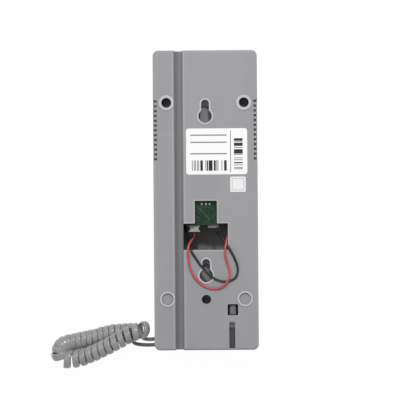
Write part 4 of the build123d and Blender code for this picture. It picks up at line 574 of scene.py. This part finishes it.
def porous(name, colour):
    """Foam or pressed paper: open, dull and even."""
    cell_scale, cell_spread = 1800.0, 0.4
    finish = Finish(name, Roughness=0.95, Sheen_Weight=0.15)
    cells = finish.node("ShaderNodeTexVoronoi", {},
                        {"Vector": finish.place, "Scale": cell_scale}, "Distance")
    finish.feed(Base_Color=finish.mix(cells, opaque(colour, 1 - cell_spread),
                                      opaque(colour, 1 + cell_spread)))
    finish.relief(cells, depth=0.00015)
    return finish.material


def rubber(name, colour):
    """Dark soft rubber with a dusty bloom."""
    smoothest, dust_share, dust_tone, dust_gloss = 0.62, 0.5, 2.4, 0.2
    finish = Finish(name, IOR=1.5)
    dust = finish.fade(finish.noise(420.0, detail=4.0), low=0.45, high=0.75)
    finish.feed(Base_Color=finish.mix(dust * dust_share, opaque(colour),
                                      opaque(colour, dust_tone)),
                Roughness=smoothest + dust * dust_gloss)
    finish.relief(finish.noise(3000.0), depth=0.00002)
    return finish.material


def label_paper():
    """White label: fibres, a divider, plain rules and two blocks of even print."""
    smoothest, fibre_gloss, ink_gloss = 0.5, 0.15, 0.08
    finish = Finish("label_paper", IOR=1.45, Specular_IOR_Level=0.35)
    x, y, _ = finish.axes()
    fibre = finish.noise(1500.0, detail=3.0, stretch=(1.0, 0.4, 1.0))
    ink = finish.within(x, y, (LABEL_DIVIDER_X - LABEL_DIVIDER_HALF,
                               LABEL_DIVIDER_X + LABEL_DIVIDER_HALF, *LABEL_DIVIDER_ENDS))
    for rule in LABEL_RULES_Y:
        box = (*LABEL_RULE_ENDS, rule - LABEL_RULE_HALF, rule + LABEL_RULE_HALF)
        ink = ink + finish.within(x, y, box) * LABEL_RULE_INK
    for along, box in ((x, LABEL_WIDE_BLOCK), (y, LABEL_TALL_BLOCK)):
        bar = finish.node("ShaderNodeTexWhiteNoise", {"noise_dimensions": "1D"},
                          {"W": finish.math("FLOOR", along / STRIPE_PITCH)}, "Value")
        ink = ink + finish.within(x, y, box) * (bar > STRIPE_GAP_SHARE)
    paper = finish.mix(fibre, opaque(LABEL_SHADE), opaque(LABEL_WHITE))
    finish.feed(Base_Color=finish.mix(finish.math("MINIMUM", ink, 1.0), paper, opaque(LABEL_INK)),
                Roughness=smoothest + fibre * fibre_gloss - ink * ink_gloss)
    finish.relief(fibre, depth=0.00001)
    return finish.material


def plain_sticker():
    """Small white sticker with a thin plain border."""
    smoothest, fibre_gloss = 0.5, 0.15
    finish = Finish("plain_sticker", IOR=1.45, Specular_IOR_Level=0.35)
    x, y, _ = finish.axes()
    (low_x, low_y, _), (high_x, high_y, _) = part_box("small_sticker")
    outer, inner = [finish.within(x, y, (low_x + inset, high_x - inset,
                                         low_y + inset, high_y - inset))
                    for inset in (BORDER_INSET, BORDER_INSET + BORDER_LINE)]
    fibre = finish.noise(1500.0, detail=3.0)
    paper = finish.mix(fibre, opaque(STICKER_SHADE), opaque(STICKER_WHITE))
    finish.feed(Base_Color=finish.mix((outer - inner) * BORDER_INK, paper, opaque(STICKER_INK)),
                Roughness=smoothest + fibre * fibre_gloss)
    finish.relief(fibre, depth=0.00001)
    return finish.material


def banded_resistor():
    """Lacquered resistor body with four plain rings of colour."""
    smoothest, lacquer_gloss = 0.35, 0.1
    finish = Finish("resistor_lacquer", IOR=1.5)
    low, high = [corner[1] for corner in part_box("resistors")]
    share = (finish.axes()[1] - low) / (high - low)
    colour = opaque(LACQUER)
    for at, ring in RESISTOR_RINGS:
        colour = finish.mix((share > at) * (share < at + RING_WIDTH_SHARE), colour, opaque(ring))
    lacquer = finish.noise(700.0)
    finish.feed(Base_Color=colour, Roughness=smoothest + lacquer * lacquer_gloss)
    finish.relief(lacquer, depth=0.00002)
    return finish.material


def capacitor_sleeve():
    """Dark shrink sleeve with a pale polarity stripe down one side."""
    smoothest, sleeve_gloss = 0.3, 0.12
    finish = Finish("capacitor_sleeve", IOR=1.5)
    low, high = [corner[1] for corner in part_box("capacitors")]
    stripe = finish.axes()[1] > (high - (high - low) * SLEEVE_STRIPE_SHARE)
    gloss = finish.noise(600.0)
    finish.feed(Base_Color=finish.mix(stripe * SLEEVE_STRIPE_INK, opaque(SLEEVE_DARK),
                                      opaque(SLEEVE_STRIPE)),
                Roughness=smoothest + gloss * sleeve_gloss)
    finish.relief(gloss, depth=0.00002)
    return finish.material


def seen_directly(finish):
    """1 where the camera, a reflection or a view through glass looks."""
    rays = finish.nodes.new("ShaderNodeLightPath")
    camera, glossy, through = [Value(finish, rays.outputs[name]) for name in (
        "Is Camera Ray", "Is Glossy Ray", "Is Transmission Ray")]
    return finish.math("MINIMUM", camera + glossy + through, 1.0)


def dress(material, *nodes):
    """Gives CAD nodes a finish without touching their meshes."""
    for name in nodes:
        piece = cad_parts[name]
        if not piece.material_slots:
            raise RuntimeError(f"{name} has no material slot")
        for place in piece.material_slots:
            place.link = "OBJECT"
            place.material = material


def add_piece(name, mesh, material, smooth=True):
    """New object from a mesh, with its finish."""
    mesh.materials.append(material)
    if smooth:
        mesh.shade_smooth()
    piece = bpy.data.objects.new(name, mesh)
    bpy.context.scene.collection.objects.link(piece)
    return piece


def nurbs_curve(name, route):
    """Curve object of one open spline that runs smoothly along a route."""
    curve = bpy.data.curves.new(name, "CURVE")
    curve.dimensions = "3D"
    spline = curve.splines.new("NURBS")
    spline.points.add(len(route) - 1)
    for point, place in zip(spline.points, route):
        point.co = (*place, 1.0)
    spline.order_u = 3
    spline.use_endpoint_u = True
    spline.resolution_u = SPLINE_STEPS
    curve.resolution_u = SPLINE_STEPS
    piece = bpy.data.objects.new(name, curve)
    bpy.context.scene.collection.objects.link(piece)
    return piece


def spline_points(route):
    """Points along the smooth spline of a route, none on top of each other."""
    piece = nurbs_curve("route", route)
    bpy.context.view_layer.update()
    depsgraph = bpy.context.evaluated_depsgraph_get()
    mesh = bpy.data.meshes.new_from_object(piece.evaluated_get(depsgraph))
    points = [mesh.vertices[0].co.copy()]
    for vertex in mesh.vertices:
        if (vertex.co - points[-1]).length > LEAST_STEP:
            points.append(vertex.co.copy())
    bpy.data.meshes.remove(mesh)
    bpy.data.objects.remove(piece)
    return points


def run_lengths(points):
    """Length run so far at each point."""
    lengths = [0.0]
    for before, after in zip(points, points[1:]):
        lengths.append(lengths[-1] + (after - before).length)
    return lengths


def plateau(value, corners):
    """0 outside the first and last corner, 1 between the middle two, straight between."""
    first, second, third, last = corners
    return (min(max((value - first) / (second - first), 0.0), 1.0)
            * min(max((last - value) / (last - third), 0.0), 1.0))


def turns_wound(turns):
    """Turns wound so far at each slice of the axis."""
    wound = [0.0]
    for step in range(AXIS_SLICES):
        share = (step + 0.5) / AXIS_SLICES
        for low, high, first, last in zip(CURL_PITCH_SHARES, CURL_PITCH_SHARES[1:],
                                          CURL_PITCHES, CURL_PITCHES[1:]):
            if low <= share <= high:
                pitch = first + (last - first) * (share - low) / (high - low)
        wound.append(wound[-1] + 1 / pitch)
    return [turn * turns / wound[-1] for turn in wound]


def curl_line(diameter, width, thickness, turns):
    """Points of the curls' middle line, with the way out from the axis and the width at each."""
    axis = spline_points(CURL_AXIS)
    lengths = run_lengths(axis)
    whole = lengths[-1]
    radius = (diameter - thickness) / 2
    wound = turns_wound(turns)
    line, outward, widths, step, number = [], [], [], 0, 0
    for count in range(turns * CURL_STEPS + 1):
        turn = count / CURL_STEPS
        bent, opened = plateau(turn, BEND_TURNS), plateau(turn, OPEN_TURNS)

        # Where on the axis the turn is, and how wide it may be there
        lean = BEND_LEAN * bent * math.sin(2 * math.pi * (turn - LEAN_START)) / (2 * math.pi)
        phase = turn + lean
        while step < AXIS_SLICES - 1 and wound[step + 1] < phase:
            step += 1
        in_slice = wound[step + 1] - wound[step]
        share = (step + (phase - wound[step]) / in_slice) / AXIS_SLICES
        pitch = whole / AXIS_SLICES / in_slice
        room = max(pitch, LEAST_PITCH) * BAND_FILL
        widths.append(min(width, room) * (1 + BEND_SPREAD * bent))
        run = min(max(share, 0.0), 1.0) * whole
        while number < len(axis) - 2 and lengths[number + 1] < run:
            number += 1
        part = (run - lengths[number]) / (lengths[number + 1] - lengths[number])
        centre = axis[number].lerp(axis[number + 1], part)

        # The way out from the axis, and the radius
        ahead = axis[min(number + 2, len(axis) - 1)] - axis[max(number - 1, 0)]
        along = ahead.normalized()
        up = (Vector((0, 0, 1)) - along * along.z).normalized()
        side = along.cross(up)
        angle = 2 * math.pi * turn
        away = side * math.sin(angle) - up * math.cos(angle)
        fast, slow = [math.sin(rate * turn) for rate in SWELL_RATES]
        swell = 1 + CURL_SWELL * fast * slow + OPEN_SWELL * opened
        line.append(centre + away * radius * swell)
        outward.append(away)
    return line, outward, widths


def carried_on(line, outward, more):
    """Adds points to a line, with the outward way turned along with it."""
    way = outward[-1]
    for before, here in zip([line[-1], *more], more):
        along = (here - before).normalized()
        way = (way - along * way.dot(along)).normalized()
        line.append(here)
        outward.append(way)


def as_mesh(name, built):
    """Mesh from a bmesh, which is freed."""
    mesh = bpy.data.meshes.new(name)
    built.to_mesh(mesh)
    built.free()
    return mesh


def band_mesh(name, line, outward, widths, thickness, tilt):
    """Flat band with round edges along a line, as wide as told at each place."""
    mesh = bmesh.new()
    rings = []
    for number, (place, away) in enumerate(zip(line, outward)):
        along = (line[min(number + 1, len(line) - 1)] - line[max(number - 1, 0)]).normalized()
        away = (away - along * away.dot(along)).normalized()
        across = along.cross(away)
        away, across = (away * math.cos(tilt) + across * math.sin(tilt),
                        across * math.cos(tilt) - away * math.sin(tilt))
        ring = []
        for side in range(BAND_SIDES):
            angle = 2 * math.pi * side / BAND_SIDES
            cosine, sine = math.cos(angle), math.sin(angle)
            x = math.copysign(abs(cosine) ** BAND_SQUARENESS, cosine) * widths[number] / 2
            y = math.copysign(abs(sine) ** BAND_SQUARENESS, sine) * thickness / 2
            ring.append(mesh.verts.new(place + across * x + away * y))
        rings.append(ring)
    for first, second in zip(rings, rings[1:]):
        for side in range(BAND_SIDES):
            after = (side + 1) % BAND_SIDES
            mesh.faces.new((first[side], first[after], second[after], second[side]))
    mesh.faces.new(rings[0][::-1])
    mesh.faces.new(rings[-1])
    bmesh.ops.recalc_face_normals(mesh, faces=mesh.faces)
    return as_mesh(name, mesh)


def printed_mesh(name, outlines, height):
    """Thin raised shapes on the rear of the board, without undersides."""
    mesh = bmesh.new()
    for outline in outlines:
        low = [mesh.verts.new((x, y, BOARD_REAR_Z)) for x, y in outline]
        high = [mesh.verts.new((x, y, BOARD_REAR_Z + height)) for x, y in outline]
        mesh.faces.new(high)
        for number in range(len(outline)):
            after = (number + 1) % len(outline)
            mesh.faces.new((low[number], low[after], high[after], high[number]))
    return as_mesh(name, mesh)


def trace_outlines():
    """Outline of each straight run of the traces."""
    for route in TRACES:
        places = [Vector((x * MM, y * MM)) for x, y in route]
        for start, end in zip(places, places[1:]):
            along = (end - start).normalized()
            side = Vector((-along.y, along.x)) * TRACE_WIDTH / 2
            yield [start - side, end - side, end + side, start + side]


def pad_outlines():
    """Outline of each round pad."""
    angles = [2 * math.pi * side / PAD_SIDES for side in range(PAD_SIDES)]
    for x, y in PAD_PLACES:
        yield [(x * MM + PAD_RADIUS * math.cos(angle), y * MM + PAD_RADIUS * math.sin(angle))
               for angle in angles]


def tapered(line, wide, narrow):
    """Width at each place: as told on the curls, narrow along the tail after them."""
    lengths = run_lengths(line)
    widths = list(wide)
    for length in lengths[len(wide):]:
        share = min((length - lengths[len(wide) - 1]) / TAIL_FADE, 1.0)
        share = share * share * (3 - 2 * share)
        widths.append(wide[-1] + (narrow - wide[-1]) * share)
    return widths


class INTERCOM_OT_camera(bpy.types.Operator):
    """Camera straight above the rear plate"""
    bl_idname = "intercom.camera"
    bl_label = "Camera"

    def execute(self, context):
        data = bpy.data.cameras.new("overhead_camera")
        data.sensor_width = CAMERA_SENSOR
        data.lens = CAMERA_SENSOR * (CAMERA_PLACE[2] - PLATE_Z) / FRAME_WIDTH
        camera = bpy.data.objects.new("overhead_camera", data)
        camera.location = CAMERA_PLACE
        camera.rotation_euler = (0, 0, CAMERA_TURN)
        context.scene.collection.objects.link(camera)
        context.scene.camera = camera
        return {"FINISHED"}


class INTERCOM_OT_curly_cord(bpy.types.Operator):
    """Flat curly cord from the handset to the base"""
    bl_idname = "intercom.curly_cord"
    bl_label = "Curly cord"

    def execute(self, context):
        sizes, colours = context.scene.intercom_sizes, context.scene.intercom_colours
        # The tails get painted shade in the given boxes
        finish = jacket("cord_jacket", colours.cord, roughness=0.18, shaded_boxes=TAIL_BOXES)
        line, outward, broad = curl_line(sizes.curl_diameter, sizes.band_width,
                                         sizes.band_thickness, sizes.curl_turns)
        split = (sizes.curl_turns - STRETCH_TURNS) * CURL_STEPS

        # Curls that lie still, with the tail to the handset
        lying, lying_ways, lying_broad = line[split::-1], outward[split::-1], broad[split::-1]
        into = (lying[-1] - lying[-2]).normalized()
        carried_on(lying, lying_ways, spline_points(
            [lying[-1], lying[-1] + into * HANDSET_TAIL_LEAD, *HANDSET_TAIL, HANDSET_EXIT])[1:])
        widths = tapered(lying, lying_broad, sizes.tail_width)
        for points in (lying, lying_ways, widths):
            points.reverse()
        mesh = band_mesh("curls_and_handset_tail", lying, lying_ways, widths,
                         sizes.band_thickness, BAND_TILT)
        piece = add_piece("curls_and_handset_tail", mesh, finish)
        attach(piece, "handset")
        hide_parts("curly_cord", "cord_tail_to_handset")

        # Last curls and the tail to the base
        lifted, lifted_ways = line[split:], outward[split:]
        out = (lifted[-1] - lifted[-2]).normalized()
        carried_on(lifted, lifted_ways, spline_points(
            [lifted[-1], lifted[-1] + out * BASE_TAIL_LEAD, *BASE_TAIL, BASE_EXIT])[1:])
        widths = tapered(lifted, broad[split:], sizes.tail_width)
        mesh = band_mesh("curls_and_base_tail", lifted, lifted_ways, widths,
                         sizes.band_thickness, -BAND_TILT)
        piece = add_piece("curls_and_base_tail", mesh, finish)
        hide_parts("cord_tail_to_base")
        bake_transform(piece)
        return {"FINISHED"}


class INTERCOM_OT_hookup_wires(bpy.types.Operator):
    """Red and black wires that loop out of the window"""
    bl_idname = "intercom.hookup_wires"
    bl_label = "Hook-up wires"

    def execute(self, context):
        sizes, colours = context.scene.intercom_sizes, context.scene.intercom_colours
        tab_x, tab_y, tab_z = RINGER_TAB
        red = [*RED_ROUTE, (tab_x, tab_y - RINGER_RUN, tab_z), RINGER_TAB]
        black = [(-tab_x, tab_y, tab_z), (-tab_x, tab_y - RINGER_RUN, tab_z), *BLACK_ROUTE]
        for name, route, colour, length, insulation in (
                ("red_wire", red, colours.red_wire, RED_LENGTH, "red_insulation"),
                ("black_wire", black, colours.black_wire, BLACK_LENGTH, "black_insulation")):
            piece = nurbs_curve(name + "_run", route)
            piece.data.bevel_depth = sizes.wire_diameter / 2
            piece.data.bevel_resolution = WIRE_ROUNDING
            piece.data.use_fill_caps = True
            # The wires get painted shade deep inside the case
            piece.data.materials.append(jacket(insulation, colour, roughness=0.4,
                                               shaded_below_z=WIRE_SHADE_Z))
            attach(piece, "base")
            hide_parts(name)
        return {"FINISHED"}


class INTERCOM_OT_housing(bpy.types.Operator):
    """Grain, scuffs, painted highlights and painted shade on the base's two shells"""
    bl_idname = "intercom.housing"
    bl_label = "Base housing"

    def execute(self, context):
        colours = context.scene.intercom_colours
        dress(moulded("rear_shell_plastic", colours.housing, painted_shading=rear_painted_shading), "rear_shell")
        dress(moulded("front_shell_plastic", colours.housing, painted_shading=front_painted_shade), "front_shell")
        return {"FINISHED"}


class INTERCOM_OT_stickers(bpy.types.Operator):
    """Label and small sticker, without words or marks"""
    bl_idname = "intercom.stickers"
    bl_label = "Stickers"

    def execute(self, context):
        dress(label_paper(), "label_sticker")
        dress(plain_sticker(), "small_sticker")
        return {"FINISHED"}


class INTERCOM_OT_circuit_board(bpy.types.Operator):
    """Board with its traces, pads and solder"""
    bl_idname = "intercom.circuit_board"
    bl_label = "Circuit board"

    def execute(self, context):
        colours = context.scene.intercom_colours
        dress(solder_mask("board_mask", colours.board), "main_board")
        dress(board_solder(), "solder_joints")

        traces = printed_mesh("board_traces", trace_outlines(), TRACE_THICKNESS)
        green = jacket("trace_green", TRACE_GREEN, roughness=0.4)
        piece = add_piece("board_traces", traces, green, smooth=False)
        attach(piece, "base")

        pads = printed_mesh("solder_pads", pad_outlines(), 2 * TRACE_THICKNESS)
        tinned = metal("tinned_copper", TINNED_COPPER, roughness=0.35)
        piece = add_piece("solder_pads", pads, tinned, smooth=False)
        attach(piece, "base")
        return {"FINISHED"}


class INTERCOM_OT_board_parts(bpy.types.Operator):
    """Finishes of the parts on and around the board"""
    bl_idname = "intercom.board_parts"
    bl_label = "Board parts"

    def execute(self, context):
        colours = context.scene.intercom_colours
        dress(moulded("plug_white", PLUG_WHITE, roughness=0.5, grain=PART_GRAIN),
              "white_wire_plug")
        dress(moulded("plunger_grey", PLUNGER_GREY, roughness=0.4, grain=PART_GRAIN),
              "hook_plunger")
        dress(moulded("plug_grey", PLUG_GREY, roughness=0.45, grain=PART_GRAIN),
              "grey_wire_plug")
        dress(moulded("terminal_black", TERMINAL_BLACK, roughness=0.45, grain=PART_GRAIN),
              "line_terminal_block", "amplifier_chip", "hook_switch", "door_tact_switch")
        dress(capacitor_sleeve(), "capacitors")
        dress(banded_resistor(), "resistors")
        dress(metal("transformer_steel", TRANSFORMER_STEEL, roughness=0.4,
                    brushing=(14.0, 1.0, 1.0)), "audio_transformer")
        dress(solder_mask("switch_board_mask", colours.board), "hook_switch_plate")
        dress(jacket("inner_lead_jacket", INNER_LEAD_GREY), "base_inner_lead")
        dress(rubber("grommet_rubber", GROMMET_BLACK), "base_cord_grommet")
        return {"FINISHED"}


class INTERCOM_OT_ringer(bpy.types.Operator):
    """Ringer's pressed frame and paper cone"""
    bl_idname = "intercom.ringer"
    bl_label = "Ringer"

    def execute(self, context):
        dress(metal("ringer_pressing", RINGER_STEEL, roughness=0.36, brushing=(6.0, 6.0, 1.0)),
              "ringer_frame")
        dress(porous("cone_paper", CONE_PAPER), "ringer_cone")
        return {"FINISHED"}


class INTERCOM_OT_door_button(bpy.types.Operator):
    """Door button in the base's front"""
    bl_idname = "intercom.door_button"
    bl_label = "Door button"

    def execute(self, context):
        dress(moulded("button_grey", BUTTON_GREY, roughness=0.42, grain=HANDSET_GRAIN),
              "door_button")
        return {"FINISHED"}


class INTERCOM_OT_fasteners(bpy.types.Operator):
    """Screws and the hook's spring"""
    bl_idname = "intercom.fasteners"
    bl_label = "Screws and spring"

    def execute(self, context):
        dress(metal("screw_black", SCREW_BLACK, roughness=0.5, brushing=TURNED),
              "case_screws", "handset_screws")
        dress(metal("screw_zinc", SCREW_ZINC, roughness=0.35, brushing=TURNED),
              "board_screws", "terminal_screws", "hook_plate_screws")
        dress(metal("spring_wire", SPRING_STEEL, roughness=0.25, brushing=(1.0, 1.0, 8.0)),
              "hook_spring")
        return {"FINISHED"}


class INTERCOM_OT_handset(bpy.types.Operator):
    """Handset shells and what they hold"""
    bl_idname = "intercom.handset"
    bl_label = "Handset"

    def execute(self, context):
        colours = context.scene.intercom_colours
        dress(moulded("handset_plastic", colours.handset, roughness=0.42, grain=HANDSET_GRAIN),
              "handset_outer_shell", "handset_inner_shell")
        dress(metal("capsule_can", CAPSULE_STEEL, roughness=0.3, brushing=(5.0, 5.0, 1.0)),
              "earpiece_capsule", "microphone_capsule")
        dress(porous("ear_foam", EAR_FOAM), "earpiece_foam_ring")
        dress(rubber("boot_rubber", BOOT_BLACK), "microphone_boot", "handset_cord_grommet")
        dress(jacket("handset_lead_jacket", HANDSET_LEAD_GREY), "handset_leads")
        return {"FINISHED"}


class INTERCOM_OT_stage(bpy.types.Operator):
    """Pale floor, room light and lamps"""
    bl_idname = "intercom.stage"
    bl_label = "Stage"

    def execute(self, context):
        sizes, scene = context.scene.intercom_sizes, context.scene
        mesh = bpy.data.meshes.new("floor")
        corners = ((-1, -1), (1, -1), (1, 1), (-1, 1))
        mesh.from_pydata([(x * FLOOR_REACH, y * FLOOR_REACH, FLOOR_Z) for x, y in corners],
                         [], [(0, 1, 2, 3)])
        finish = Finish("pale_floor", Roughness=0.8, Base_Color=FLOOR_WHITE)
        glow = finish.node("ShaderNodeEmission", {}, {"Color": WHITE, "Strength": 1.0})
        surface = finish.node("ShaderNodeMixShader", {}, {
            0: seen_directly(finish) * FLOOR_GLOW_SHARE,
            1: Value(finish, finish.shader.outputs[0]), 2: glow})
        finish.links.new(surface.socket, finish.output.inputs[0])
        add_piece("floor", mesh, finish.material, smooth=False)

        world = bpy.data.worlds.new("room")
        world.use_nodes = True
        background = world.node_tree.nodes["Background"]
        background.inputs[0].default_value = WHITE
        background.inputs[1].default_value = sizes.sky_strength
        scene.world = world

        for name, place, size, power in (("key_lamp", KEY_PLACE, KEY_SIZE, sizes.key_power),
                                         ("side_lamp", SIDE_PLACE, SIDE_SIZE, SIDE_POWER)):
            data = bpy.data.lights.new(name, "AREA")
            data.size, data.energy = size, power
            lamp = bpy.data.objects.new(name, data)
            lamp.location = place
            aim = Vector(LAMP_AIM) - Vector(place)
            lamp.rotation_euler = aim.to_track_quat("-Z", "Y").to_euler()
            scene.collection.objects.link(lamp)
        scene.view_settings.view_transform = "Standard"
        return {"FINISHED"}


STEPS = (INTERCOM_OT_camera, INTERCOM_OT_curly_cord, INTERCOM_OT_hookup_wires,
         INTERCOM_OT_housing, INTERCOM_OT_stickers, INTERCOM_OT_circuit_board,
         INTERCOM_OT_board_parts, INTERCOM_OT_ringer, INTERCOM_OT_door_button,
         INTERCOM_OT_fasteners, INTERCOM_OT_handset, INTERCOM_OT_stage)


class INTERCOM_PT_panel(bpy.types.Panel):
    """Lists the steps and the values behind them"""
    bl_idname = "INTERCOM_PT_panel"
    bl_label = "Wall intercom"
    bl_space_type = "VIEW_3D"
    bl_region_type = "UI"
    bl_category = "Intercom"

    def draw(self, context):
        for group in (context.scene.intercom_sizes, context.scene.intercom_colours):
            column = self.layout.column()
            for name in group.bl_rna.properties.keys():
                if name not in ("name", "rna_type"):
                    column.prop(group, name)
        for step in STEPS:
            self.layout.operator(step.bl_idname)


CLASSES = (IntercomSizes, IntercomColours, *STEPS, INTERCOM_PT_panel)


def register():
    for each in CLASSES:
        bpy.utils.register_class(each)
    bpy.types.Scene.intercom_sizes = PointerProperty(type=IntercomSizes)
    bpy.types.Scene.intercom_colours = PointerProperty(type=IntercomColours)


def unregister():
    del bpy.types.Scene.intercom_colours
    del bpy.types.Scene.intercom_sizes
    for each in reversed(CLASSES):
        bpy.utils.unregister_class(each)


def main():
    """Makes every step in order."""
    register()
    for step in STEPS:
        group, name = step.bl_idname.split(".")
        getattr(getattr(bpy.ops, group), name)()
    bpy.context.view_layer.update()


if __name__ == "__main__":
    main()
